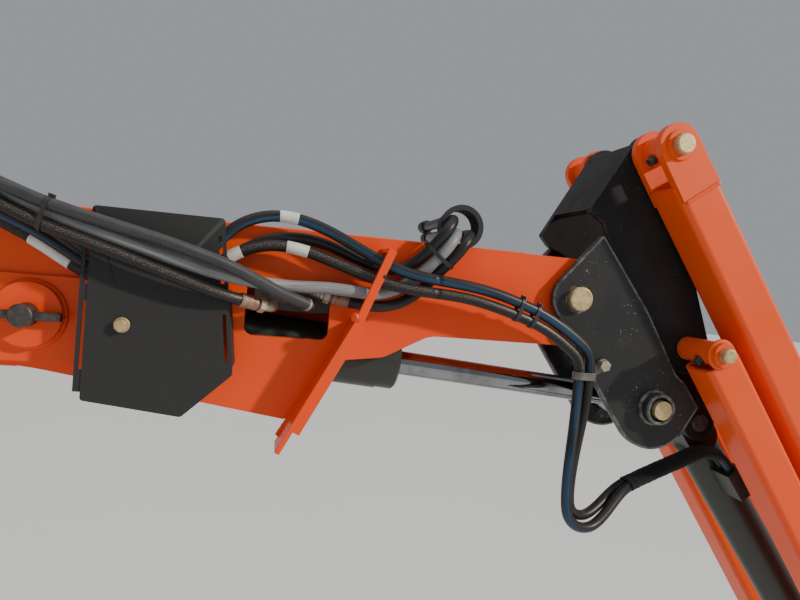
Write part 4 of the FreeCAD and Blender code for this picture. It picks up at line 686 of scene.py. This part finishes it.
NODE_FINISHES = {
    "boom_paint": ("nose_", "pivot_tube", "base_doubler", "hose_guide", "retainer_bar"),
    "link_paint": ("upper_link_near", "upper_link_far", "lower_link_near", "lower_link_far"),
    "shield_black": ("shield_",),
    "knuckle_black": ("cheek_", "knuckle_", "jib_lugs", "bracket_cheek", "platform_plate",
                      "rod_pin_collars", "hose_end_plate"),
    "cover_black": ("hose_cover", "crossover_tube"),
    "cylinder_black": ("level_barrel", "jib_barrel"),
    "chromed_rod": ("level_rod", "jib_rod"),
    "plated_pins": ("main_pin", "upper_link_pin", "lower_link_pin", "rod_pin_ends",
                    "jib_pin_ends", "bracket_upper_pin", "bracket_lower_pin", "cover_standoff",
                    "hose_couplings", "hose_fittings"),
    "dark_pins": ("base_pin", "keeper_rod", "jib_base_pin"),
    "dull_steel": ("valve_block",),
    "clamp_steel": ("hose_clamp",),
    "woven_sleeve": ("loop_sleeve",),
    "black_hose": ("conduit_hose", "feed_hose", "low_hose", "outer_", "inner_", "high_hose"),
    "grey_cable": ("grey_cable",),
}


def give_finish(node, material, test):
    """Gives the faces of a node whose middle passes a test a finish of their own."""
    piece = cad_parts[node]
    piece.data.materials.append(bpy.data.materials[material])
    for face in piece.data.polygons:
        if test(piece.matrix_world @ face.center):
            face.material_index = 1


# Where the clamp's bolt head sits, and how far out its faces reach.
CLAMP_BOLT = place_of(942.0, -73.6, -46.5)
CLAMP_BOLT_RADIUS = 0.008


def on_clamp_bolt(place):
    out = math.hypot(place.x - CLAMP_BOLT.x, place.z - CLAMP_BOLT.z)
    return place.y < CLAMP_BOLT.y and out < CLAMP_BOLT_RADIUS


class NOSE_OT_finishes(bpy.types.Operator):
    """Makes the finishes and gives each solid its own"""

    bl_idname = "nose.finishes"
    bl_label = "Finishes"

    def execute(self, context):
        dust_group()
        edge_group()
        scratch_group()
        paint = colours()
        paint_material("boom_paint", paint.boom, (0.88, 0.074, 0.001), (0.30, 0.12, 0.06),
                       gloss=0.36, coat=0.18, dust=0.06, wear_and_highlight=0.35, lines=0.35)
        paint_material("link_paint", paint.links, (0.90, 0.098, 0.008), (0.28, 0.09, 0.04),
                       gloss=0.38, coat=0.15, dust=0.08, wear_and_highlight=0.45, lines=0.45)
        # Knuckle: black paint made darker than the shields' as painted shade, for the shade that its plates
        # lie in.
        paint_material("knuckle_black", paint.black, (0.015, 0.016, 0.018), (0.22, 0.22, 0.21),
                       gloss=0.36, coat=0.0, dust=0.10, wear_and_highlight=0.75, lines=0.5, chips=0.4, shine=0.14)
        # Shield: edges worn to pale metal, widened and lightened past wear into a painted highlight along the
        # bent edge.
        paint_material("shield_black", (0.016, 0.018, 0.0195), (0.027, 0.029, 0.031), (0.50, 0.50, 0.48),
                       gloss=0.34, coat=0.03, dust=0.12, wear_and_highlight=1.0, lines=0.8, chips=0.6, edge=0.006,
                       shine=0.2)
        # Cover: pale worn edges, which also serve as a painted highlight along the edges.
        paint_material("cover_black", (0.005, 0.005, 0.0056), (0.009, 0.009, 0.0096), (0.32, 0.31, 0.30),
                       gloss=0.5, coat=0.0, dust=0.025, wear_and_highlight=1.0, lines=0.3, chips=0.5, edge=0.004, shine=0.1)
        # Barrels: black paint darkened further as painted shade, for the shadow that the links cast on them.
        paint_material("cylinder_black", (0.007, 0.007, 0.006), (0.015, 0.014, 0.011), (0.12, 0.11, 0.09),
                       gloss=0.46, coat=0.0, dust=0.02, wear_and_highlight=0.4, lines=0.3, shine=0.05)
        for name, colour, second, metal, rough, scale, spotted in (
            ("plated_pins", paint.zinc, (0.66, 0.53, 0.30), 0.6, 0.36, 160.0, 0.7),
            ("dark_pins", (0.050, 0.045, 0.042), (0.11, 0.095, 0.085), 0.5, 0.45, 120.0, 0.3),
            ("dull_steel", (0.035, 0.033, 0.030), (0.07, 0.065, 0.06), 0.5, 0.45, 60.0, 0.3),
            ("fitting_zinc", (0.36, 0.31, 0.23), (0.50, 0.44, 0.34), 0.6, 0.36, 160.0, 0.6),
            ("clamp_steel", (0.13, 0.125, 0.12), (0.24, 0.23, 0.21), 0.8, 0.36, 90.0, 0.3),
            ("crimp_brown", (0.24, 0.13, 0.09), (0.36, 0.24, 0.17), 0.4, 0.45, 130.0, 0.3),
        ):
            steel_material(name, colour, second, metal, rough, scale, spotted)
        chrome_material()
        hose_material("black_hose", (0.009, 0.009, 0.010), 0.08)
        hose_material("printed_hose", (0.009, 0.009, 0.009), 0.07, printed=0.6)
        hose_material("striped_hose", (0.009, 0.009, 0.010), 0.07, stripe=(0.010, 0.050, 0.110))
        hose_material("grey_cable", (0.16, 0.162, 0.165), 0.06)
        hose_material("ribbed_conduit", (0.030, 0.031, 0.033), 0.12)
        woven_material()
        plastic_material("label_white", (0.78, 0.77, 0.73), (0.52, 0.50, 0.45), 0.55)
        plastic_material("tie_black", (0.012, 0.012, 0.013), (0.03, 0.03, 0.03), 0.4)
        plastic_material("rubber_black", (0.010, 0.010, 0.010), (0.02, 0.02, 0.02), 0.55)
        for material, starts in NODE_FINISHES.items():
            for name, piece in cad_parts.items():
                if name.startswith(starts):
                    piece.data.materials.clear()
                    piece.data.materials.append(bpy.data.materials[material])
        give_finish("hose_clamp", "fitting_zinc", on_clamp_bolt)
        give_finish("hose_couplings", "rubber_black", lambda place: place.y > 0)
        return {"FINISHED"}


class NOSE_OT_hoses(bpy.types.Operator):
    """Draws each smooth hose along its route, and lets a hose without a bend ride on its first body"""

    bl_idname = "nose.hoses"
    bl_label = "Hoses"

    def execute(self, context):
        for node, material, bodies, start, end in HOSES:
            way, name = Way(ROUTES[node]), node + "_rubber"
            piece = tube(name, way, even_stops(way.length, hose_radius(node)), 24)
            finish_piece(piece, name, material, None, (node,))
            if start:
                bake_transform(piece)
            else:
                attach(piece, bodies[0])
        return {"FINISHED"}


# The sleeve's line in the side view, between the two hoses, with its half height and half width.
SLEEVE_LINE = ((1011.8, -213.8), *SLEEVE_PATH[1:7], (1149.6, -167.8))
SLEEVE_MIDDLE = -47.6
SLEEVE_TALL = 0.0089
SLEEVE_WIDE = 0.0160
# How each end of it is turned in: how far from the end, and the share of its height there.
SLEEVE_ENDS = ((0.006, 0.84), (0.0005, 0.84), (0.0, 0.96), (0.0006, 1.02), (0.003, 1.0))
# Its slight waves: a share of its height, and how fast each of the two comes and goes.
SLEEVE_WAVE, SLEEVE_WAVES = 0.012, (700, 260)


class NOSE_OT_sleeve(bpy.types.Operator):
    """Weaves the flat sleeve round the loop's two hoses"""

    bl_idname = "nose.sleeve"
    bl_label = "Woven sleeve"

    def execute(self, context):
        way = Way([(x, SLEEVE_MIDDLE, z) for x, z in SLEEVE_LINE])
        stops = [(inset, SLEEVE_TALL * share) for inset, share in SLEEVE_ENDS]
        distance = 0.006
        while distance < way.length - 0.006:
            swell = SLEEVE_WAVE * sum(math.sin(distance * fast) for fast in SLEEVE_WAVES)
            stops.append((distance, SLEEVE_TALL * (0.985 + swell)))
            distance += 0.002
        stops += [(way.length - inset, SLEEVE_TALL * share) for inset, share in reversed(SLEEVE_ENDS)]
        piece = tube("loop_sleeve_woven", way, stops, 48, (1.0, SLEEVE_WIDE / SLEEVE_TALL))
        finish_piece(piece, "loop_sleeve_woven", "woven_sleeve", None, ("loop_sleeve",))
        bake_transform(piece)
        return {"FINISHED"}


# Slots along the cover's front bend: foot and head in the side view, half their width and their depth.
COVER_SLOTS = (((465.2, -66), (458.9, -14)), ((454.7, 20), (448.4, 72)))
SLOT_HALF, SLOT_NEAR, SLOT_FAR = 2, -104, -94
# The strip past the cover's rear bend and the bridges that hold it.
COVER_STRIPS = (
    # rear and front, foot and head, near and far side
    (309, 313, -108, 86, -99, -96.5),
    (312, 318.5, -108, -84, -99, -97.2),
    (312, 318.5, -10, 8, -99, -97.2),
    (312, 318.5, 70, 86, -99, -97.2),
)


class NOSE_OT_cover(bpy.types.Operator):
    """Cuts the bend slots into the hose cover and adds a strip along its rear edge"""

    bl_idname = "nose.cover"
    bl_label = "Hose cover"

    def execute(self, context):
        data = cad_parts["hose_cover"].data.copy()
        data.transform(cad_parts["hose_cover"].matrix_world)
        cover = bpy.data.objects.new("hose_cover_slotted", data)
        context.scene.collection.objects.link(cover)
        shapes = []
        for (foot_x, foot_z), (head_x, head_z) in COVER_SLOTS:
            corners = ((foot_x - SLOT_HALF, foot_z), (foot_x + SLOT_HALF, foot_z),
                       (head_x + SLOT_HALF, head_z), (head_x - SLOT_HALF, head_z))
            shapes.append((prism(corners, SLOT_NEAR, SLOT_FAR), "DIFFERENCE"))
        for rear, front, foot, head, near, far in COVER_STRIPS:
            corners = ((rear, foot), (front, foot), (front, head), (rear, head))
            shapes.append((prism(corners, near, far), "UNION"))
        pick(cover)
        for shape, operation in shapes:
            cut = cover.modifiers.new("cut", "BOOLEAN")
            cut.operation, cut.solver, cut.object = operation, "EXACT", shape
            bpy.ops.object.modifier_apply(modifier="cut")
            remove(shape)
        smooth_by_angle(cover, 30)
        finish_piece(cover, "hose_cover_slotted", "cover_black", "boom", ("hose_cover",))
        return {"FINISHED"}


# One rib of the conduit: shares of the spacing along it, with shares of its radius.
RIB_SHAPE = ((0.0, 0.965), (0.3, 0.965), (0.46, 1.0), (0.86, 1.0))


class NOSE_OT_conduit(bpy.types.Operator):
    """Draws the ribbed conduit, one ring after the other"""

    bl_idname = "nose.conduit"
    bl_label = "Ribbed conduit"

    def execute(self, context):
        way = Way(ROUTES["conduit_hose"])
        top, pitch = sizes().conduit, sizes().rib
        stops = []
        for rib in range(int(way.length / pitch)):
            stops += [(pitch * (rib + along), top * share) for along, share in RIB_SHAPE]
        piece = tube("conduit_ribs", way, stops, 22)
        finish_piece(piece, "conduit_ribs", "ribbed_conduit", "boom", ("conduit_hose",))
        return {"FINISHED"}


# Turned shapes as (height, radius), measured outward from the hose's end.
CRIMP = (
    (-0.020, 0.0074), (-0.019, 0.0082), (-0.014, 0.0082), (-0.0135, 0.0077), (-0.0115, 0.0077),
    (-0.011, 0.0082), (-0.007, 0.0082), (-0.0065, 0.0077), (-0.0045, 0.0077), (-0.004, 0.0083),
    (0.000, 0.0083), (0.0012, 0.0058), (0.004, 0.0058),
)
NUT = ((0.003, 0.0088), (0.0036, 0.0094), (0.0100, 0.0094), (0.0106, 0.0088))
COLLAR = ((0.0106, 0.0062), (0.0150, 0.0062))
RIM = ((-0.0030, 0.0071), (-0.0026, 0.0077), (0.0000, 0.0077), (0.0010, 0.0066))
HOSE_ENDS = (
    # hose, whether the fitting is at its end, radius of the elbow behind it
    ("conduit_hose", True, 0.0046),
    ("feed_hose", True, 0.0058),
    ("low_hose", False, 0.0058),
)


class NOSE_OT_hose_ends(bpy.types.Operator):
    """Turns the crimped ferrules and nuts on the hose ends, with their bends into the valve block"""

    bl_idname = "nose.hose_ends"
    bl_label = "Hose ends"

    def execute(self, context):
        crimp, rim = turned_piece(CRIMP, smooth=40), turned_piece(RIM, smooth=40)
        nut, collar = turned_piece(NUT, 6), turned_piece(COLLAR, 24)
        for node, at_end, radius in HOSE_ENDS:
            way = Way(ROUTES[node])
            place, ahead = way.at(way.length if at_end else 0.0)
            ahead = ahead if at_end else -ahead
            plain = node == "conduit_hose"
            end = aimed_copy(rim if plain else crimp, place, ahead)
            finish_piece(end, node + "_crimp", "fitting_zinc" if plain else "crimp_brown", "boom",
                         ("hose_fittings",))
            for source, tag in () if plain else ((nut, "_nut"), (collar, "_collar")):
                piece = aimed_copy(source, place, ahead)
                finish_piece(piece, node + tag, "fitting_zinc", "boom")
            foot, knee = (place / MM + ahead * gap for gap in ((0.4, 6) if plain else (15, 22)))
            bend = Way([tuple(foot), tuple(foot.lerp(knee, 0.6)), (knee.x, knee.y + 4, knee.z),
                        (knee.x, -47, knee.z)])
            elbow = tube(node + "_elbow", bend, even_stops(bend.length, radius, 0.002), 20)
            finish_piece(elbow, node + "_elbow", "dark_pins" if plain else "fitting_zinc", "boom")
        for node in ("grey_cable", "low_hose", "high_hose"):
            way = Way(ROUTES[node])
            end = aimed_copy(rim, *way.at(way.length))
            finish_piece(end, node + "_far_end", "rubber_black", "boom")
        remove(rim, crimp, nut, collar)
        return {"FINISHED"}


LABELS = (
    # piece, hose, from and to along the hose in millimetres, how proud it stands
    ("rear_label", "inner_hose", 212, 262, 0.0006),
    ("arch_label", "outer_hose", 514, 536, 0.0004),
    ("inner_label", "inner_hose", 512, 538, 0.0005),
    ("small_label", "inner_hose", 444, 460, 0.0008),
)


class NOSE_OT_labels(bpy.types.Operator):
    """Wraps the blank labels round the hoses"""

    bl_idname = "nose.labels"
    bl_label = "Blank labels"

    def execute(self, context):
        for name, hose, start, end, proud in LABELS:
            radius = sizes().hose + proud
            stops = [(start * MM, sizes().hose), (start * MM + 0.0003, radius)]
            stops += [((start + (end - start) * share / 6) * MM, radius) for share in range(1, 6)]
            stops += [(end * MM - 0.0003, radius), (end * MM, sizes().hose)]
            piece = tube(name, Way(ROUTES[hose]), stops, 28)
            smooth_by_angle(piece, 40)
            finish_piece(piece, name, "label_white", "boom")
        return {"FINISHED"}


TIES = (
    # piece, place, hoses that it holds
    ("rear_tie", (278, -109, 87), ("conduit_hose", "feed_hose")),
    ("crossover_tie", (705, -82, 75), ("grey_cable", "low_hose", "high_hose")),
    ("bend_tie_one", (812, -86, 22), ("outer_bend", "inner_bend")),
    ("bend_tie_two", (834, -84.5, 13), ("outer_bend", "inner_bend")),
)


def hull_round(circles, gap):
    """The outline round some circles of a plane, as points in order."""
    cloud = []
    for (x, y), radius in circles:
        for step in range(32):
            angle = 2 * math.pi * step / 32
            cloud.append((x + (radius + gap) * math.cos(angle), y + (radius + gap) * math.sin(angle)))
    cloud.sort()
    outline = []
    for order in (cloud, list(reversed(cloud))):
        chain = []
        for point in order:
            while len(chain) > 1 and ((chain[-1][0] - chain[-2][0]) * (point[1] - chain[-2][1])
                                      - (chain[-1][1] - chain[-2][1]) * (point[0] - chain[-2][0])) <= 0:
                chain.pop()
            chain.append(point)
        outline += chain[:-1]
    return outline


def bundle(place, held):
    """Where hoses pass a place together: their middle, its directions and a circle for each hose."""
    found = []
    for hose in held:
        way = Way(ROUTES[hose])
        found.append((hose_radius(hose), *way.at(way.nearest(place))))
    ahead = sum((direction for radius, spot, direction in found), Vector()).normalized()
    side = Vector((0, -1, 0))
    side = (side - ahead * side.dot(ahead)).normalized()
    up = side.cross(ahead)
    centre = sum((spot for radius, spot, direction in found), Vector()) / len(found)
    circles = []
    for radius, spot, direction in found:
        away = spot - centre
        circles.append(((away.dot(side), away.dot(up)), radius))
    return centre, (ahead, side, up), circles


def tie_band(name, centre, ways, inner, outer):
    """The band between an inner and an outer outline."""
    ahead, side, up = ways
    half = sizes().tie / 2
    count = min(len(inner), len(outer))
    shape = bmesh.new()
    rings = []
    for outline, depth in ((inner, -half), (outer, -half), (outer, half), (inner, half)):
        rings.append([shape.verts.new(centre + side * x + up * y + ahead * depth)
                      for x, y in outline[:count]])
    for ring, other in zip(rings, rings[1:] + rings[:1]):
        for step in range(count):
            following = (step + 1) % count
            shape.faces.new((ring[step], ring[following], other[following], other[step]))
    return object_of(shape, name)


# Thickness of a tie, and its head's size and rounding.
TIE_THICK = 0.0013
TIE_HEAD, TIE_HEAD_EDGE = (0.0060, 0.0048, 0.0036), 0.0008


def tie_head():
    """The head of a tie: a small block with rounded edges."""
    deselect()
    bpy.ops.mesh.primitive_cube_add(size=1)
    head = bpy.context.object
    head.scale = TIE_HEAD
    bpy.ops.object.transform_apply(location=False, rotation=False, scale=True)
    bevel = head.modifiers.new("bevel", "BEVEL")
    bevel.width, bevel.segments = TIE_HEAD_EDGE, 2
    bpy.ops.object.modifier_apply(modifier="bevel")
    return head


class NOSE_OT_ties(bpy.types.Operator):
    """Pulls a cable tie with its head and cut tail round each bundle"""

    bl_idname = "nose.ties"
    bl_label = "Cable ties"

    def execute(self, context):
        for name, place, held in TIES:
            centre, ways, circles = bundle(place_of(*place), held)
            side, up = ways[1:]
            outer = hull_round(circles, TIE_THICK)
            band = tie_band(name, centre, ways, hull_round(circles, 0.0001), outer)
            across, top = max(outer, key=lambda point: point[1])
            head = tie_head()
            turn = Matrix(ways).transposed().to_4x4()
            head.data.transform(Matrix.Translation(centre + side * across + up * (top + 0.0010)) @ turn)
            foot = (centre + side * (across + 0.003) + up * (top + 0.0012)) / MM
            way = Way([tuple(foot), tuple(foot + side * 1.6), tuple(foot + side * 3.4 + up * 0.3)])
            tail = tube(name + "_tail", way, even_stops(way.length, TIE_THICK, 0.001), 8)
            finish_piece(join_pieces(band, head, tail), name, "tie_black", "boom")
        return {"FINISHED"}


BOLTS = (
    # piece, place, outward direction, kind, body, finish
    ("cover_bolt", (354, -100, -33), (0, -1, 0), "large", "boom", "plated_pins"),
    ("bar_foot_nub", (606, -100.5, -6), (-0.5, -0.86, 0), "small", "boom", "boom_paint"),
    ("upper_keeper_near", (971.5, -92, 224.2), (-0.69, 0, -0.72), "middle", "upper_links", "dark_pins"),
    ("upper_keeper_far", (971.5, 92, 224.2), (-0.69, 0, -0.72), "middle", "upper_links", "dark_pins"),
    ("lower_keeper_near", (1062.0, -104, -26.9), (-0.74, 0, -0.67), "middle", "lower_links", "dark_pins"),
    ("lower_keeper_far", (1062.0, 104, -26.9), (-0.74, 0, -0.67), "middle", "lower_links", "dark_pins"),
)
BOLT_SIZES = {
    # across flats, height, the washer's radius and thickness
    "large": (0.0130, 0.0058, 0.0084, 0.0018),
    "middle": (0.0110, 0.0056, 0.0070, 0.0014),
    "small": (0.0090, 0.0045, 0.0060, 0.0010),
}


class NOSE_OT_bolts(bpy.types.Operator):
    """Makes the hexagon bolts and sets them on their plates"""

    bl_idname = "nose.bolts"
    bl_label = "Bolts"

    def execute(self, context):
        kinds = {kind: hex_bolt(*size) for kind, size in BOLT_SIZES.items()}
        for index, (name, place, way, kind, body, material) in enumerate(BOLTS):
            piece = aimed_copy(kinds[kind], place_of(*place), way, 0.35 * index)
            finish_piece(piece, name, material, body)
        # A flat black disc on the bar: painted shade standing in for a hole's dark inside.
        hole_shade_disc = turned_piece(((0, 0.0024), (0.0002, 0.0024)), 24)
        painted_hole_shade = aimed_copy(hole_shade_disc, place_of(635.5, -102, 43.8), (0, -1, 0))
        finish_piece(painted_hole_shade, "bar_hole", "rubber_black", "boom")
        remove(hole_shade_disc, *kinds.values())
        return {"FINISHED"}


# The links' pins in the side view, and what the two sides are called.
UPPER_PIN, LOWER_PIN = (985.3, 238.6), (1073.6, -16.3)
UPPER_PINS = (("boom", UPPER_PIN), ("platform", (1653.1, -697.6)))
SIDES = ((-1, "near"), (1, "far"))


class NOSE_OT_bosses(bpy.types.Operator):
    """Turns the bushes between the upper links' lugs and the collars round the rod pin"""

    bl_idname = "nose.bosses"
    bl_label = "Bushes and collars"

    def execute(self, context):
        bush = turned_piece(((0, 0.0178), (0.0008, 0.0186), (0.0392, 0.0186), (0.0400, 0.0178)), 48, 40)
        collar = turned_piece(((0, 0.0210), (0.0145, 0.0210), (0.0160, 0.0200), (0.0160, 0.0172),
                               (0.0150, 0.0165), (0.0020, 0.0165)), 48, 40)
        for side, tag in SIDES:
            for end, (x, z) in UPPER_PINS:
                piece = aimed_copy(bush, place_of(x, side * 73.5, z), (0, side, 0))
                finish_piece(piece, "%s_bush_%s" % (end, tag), "link_paint", "upper_links")
            piece = aimed_copy(collar, place_of(1028, side * 68.5, -100), (0, side, 0))
            finish_piece(piece, "rod_pin_collar_" + tag, "shield_black", "knuckle",
                         ("rod_pin_collars",))
        remove(bush, collar)
        return {"FINISHED"}


def link_place(pin, along, across, y):
    """A place on a link: along it from its pin, and across it in the side view."""
    return tuple(Vector((pin[0], y, pin[1])) + LINK_WAY * along + LINK_RISE * across)


def weld_lines():
    """Every weld bead: name, places and the body that it rides on."""
    lines = []
    for side, tag in SIDES:
        foot = [link_place(UPPER_PIN, along, across, side * 123.5)
                for along, across in ((67, 27), (66.5, 0), (67, -27))]
        crossover = [(722, side * 50, 91.2), (734, side * 50.5, 91.2), (746, side * 50, 91.2)]
        seam = [(x, side * 46, z) for x, z in ((6, 89), (300, 89.1), (600, 89), (830, 89))]
        belly = [(x, side * 47, z) for x, z in ((6, -90.5), (120, -90.6), (236, -90.5))]
        lines += [
            ("upper_foot_" + tag, foot, "upper_links"),
            ("collar_foot_" + tag, ring_places(1028, side * 68.7, -100, 21.5), "knuckle"),
            ("base_boss_" + tag, ring_places(250, side * 61, -32, 37), "boom"),
            ("lower_boss_" + tag, ring_places(LOWER_PIN[0], side * 126.8, LOWER_PIN[1], 17), "lower_links"),
            ("crossover_foot_" + tag, crossover, "boom"),
            ("boom_top_seam_" + tag, seam, "boom"),
            ("belly_seam_" + tag, belly, "boom"),
        ]
    lines.append(("guide_foot", [(528, -56.5, -160), (570, -56.5, -86), (606, -56.5, -20)], "boom"))
    lines.append(("bar_top", [(636, -56, 74), (643, -56, 79), (650, -56, 75)], "boom"))
    return lines


class NOSE_OT_welds(bpy.types.Operator):
    """Lays the weld beads where plates and tubes meet"""

    bl_idname = "nose.welds"
    bl_label = "Weld beads"

    def execute(self, context):
        for name, places, body in weld_lines():
            piece = bead("weld_" + name, places, sizes().weld)
            material = {"boom": "boom_paint", "knuckle": "shield_black"}.get(body, "link_paint")
            finish_piece(piece, "weld_" + name, material, body)
        return {"FINISHED"}


LIGHTS = (
    # lamp, kind, strength, colour, place, the sun's angle or the panel's side
    ("key_light", "SUN", 3.1, (1.0, 0.94, 0.85), (4.1, -2.1, 1.95), math.radians(3)),
    ("sky_panel", "AREA", 22, (0.88, 0.94, 1.0), (0.6, -0.6, 2.6), 2.5),
)
LIT_PLACE = Vector((0.9, 0, 0))
ROOM_COLOUR, ROOM_STRENGTH = (0.86, 0.90, 0.96, 1), 0.38
# The photograph's camera: its place in millimetres, and which way its right and its top face.
CAMERA_PLACE = (512.9, -790, 45.3)
CAMERA_RIGHT = Vector((0.9758, -0.1990, 0.0906))
CAMERA_UP = Vector((-0.0810, 0.0555, 0.9952))


class NOSE_OT_stage(bpy.types.Operator):
    """Sets the pale floor, the lights and the camera"""

    bl_idname = "nose.stage"
    bl_label = "Floor, lights and camera"

    def execute(self, context):
        deselect()
        bpy.ops.mesh.primitive_plane_add(size=40, location=(0.9, 0, CAD_BOX[0][2] - 0.12))
        floor = settle(context.object)
        floor.name = "floor"
        tree, surface = new_material("pale_floor", Specular_IOR_Level=0.2, Roughness=0.9)
        wire(tree, surface, Base_Color=mix_colour(tree, noise(tree, 0.8, 3.0), (0.88, 0.88, 0.87, 1),
                                                  (0.92, 0.92, 0.91, 1)))
        floor.data.materials.append(bpy.data.materials["pale_floor"])
        world = bpy.data.worlds.new("pale_room")
        world.use_nodes = True
        room = world.node_tree.nodes["Background"].inputs
        room["Color"].default_value = ROOM_COLOUR
        room["Strength"].default_value = ROOM_STRENGTH
        context.scene.world = world
        for name, kind, energy, colour, place, size in LIGHTS:
            data = bpy.data.lights.new(name, kind)
            data.energy, data.color = energy, colour
            if kind == "SUN":
                data.angle = size
            else:
                data.shape, data.size = "SQUARE", size
            lamp = bpy.data.objects.new(name, data)
            lamp.location = place
            lamp.rotation_mode = "QUATERNION"
            lamp.rotation_quaternion = (LIT_PLACE - Vector(place)).to_track_quat("-Z", "Y")
            context.scene.collection.objects.link(lamp)
        data = bpy.data.cameras.new("camera")
        data.lens, data.sensor_width = 27.0, 36.0
        data.clip_start, data.clip_end = 0.05, 100.0
        camera = bpy.data.objects.new("camera", data)
        back = CAMERA_RIGHT.cross(CAMERA_UP)
        turn = Matrix((CAMERA_RIGHT, CAMERA_UP, back)).transposed().to_4x4()
        camera.matrix_world = Matrix.Translation(place_of(*CAMERA_PLACE)) @ turn
        context.scene.collection.objects.link(camera)
        context.scene.camera = camera
        return {"FINISHED"}


class NOSE_PT_panel(bpy.types.Panel):
    """Lists the sizes, the colours and the buttons that build the pieces"""

    bl_label = "Boom nose"
    bl_idname = "NOSE_PT_panel"
    bl_space_type = "VIEW_3D"
    bl_region_type = "UI"
    bl_category = "Boom nose"

    def draw(self, context):
        for group in (context.scene.nose_sizes, context.scene.nose_colours):
            for name in group.bl_rna.properties.keys():
                if name not in {"rna_type", "name"}:
                    self.layout.prop(group, name)
        for operator in OPERATORS:
            self.layout.operator(operator.bl_idname)


OPERATORS = (NOSE_OT_finishes, NOSE_OT_cover, NOSE_OT_hoses, NOSE_OT_sleeve, NOSE_OT_conduit,
             NOSE_OT_hose_ends, NOSE_OT_labels, NOSE_OT_ties, NOSE_OT_bosses, NOSE_OT_bolts, NOSE_OT_welds,
             NOSE_OT_stage)
CLASSES = (NoseSizes, NoseColours, *OPERATORS, NOSE_PT_panel)


def register():
    for kind in CLASSES:
        bpy.utils.register_class(kind)
    bpy.types.Scene.nose_sizes = PointerProperty(type=NoseSizes)
    bpy.types.Scene.nose_colours = PointerProperty(type=NoseColours)


def unregister():
    del bpy.types.Scene.nose_colours
    del bpy.types.Scene.nose_sizes
    for kind in reversed(CLASSES):
        bpy.utils.unregister_class(kind)


def main():
    register()
    bpy.ops.nose.finishes()
    bpy.ops.nose.cover()
    bpy.ops.nose.hoses()
    bpy.ops.nose.sleeve()
    bpy.ops.nose.conduit()
    bpy.ops.nose.hose_ends()
    bpy.ops.nose.labels()
    bpy.ops.nose.ties()
    bpy.ops.nose.bosses()
    bpy.ops.nose.bolts()
    bpy.ops.nose.welds()
    bpy.ops.nose.stage()


if __name__ == "__main__":
    main()
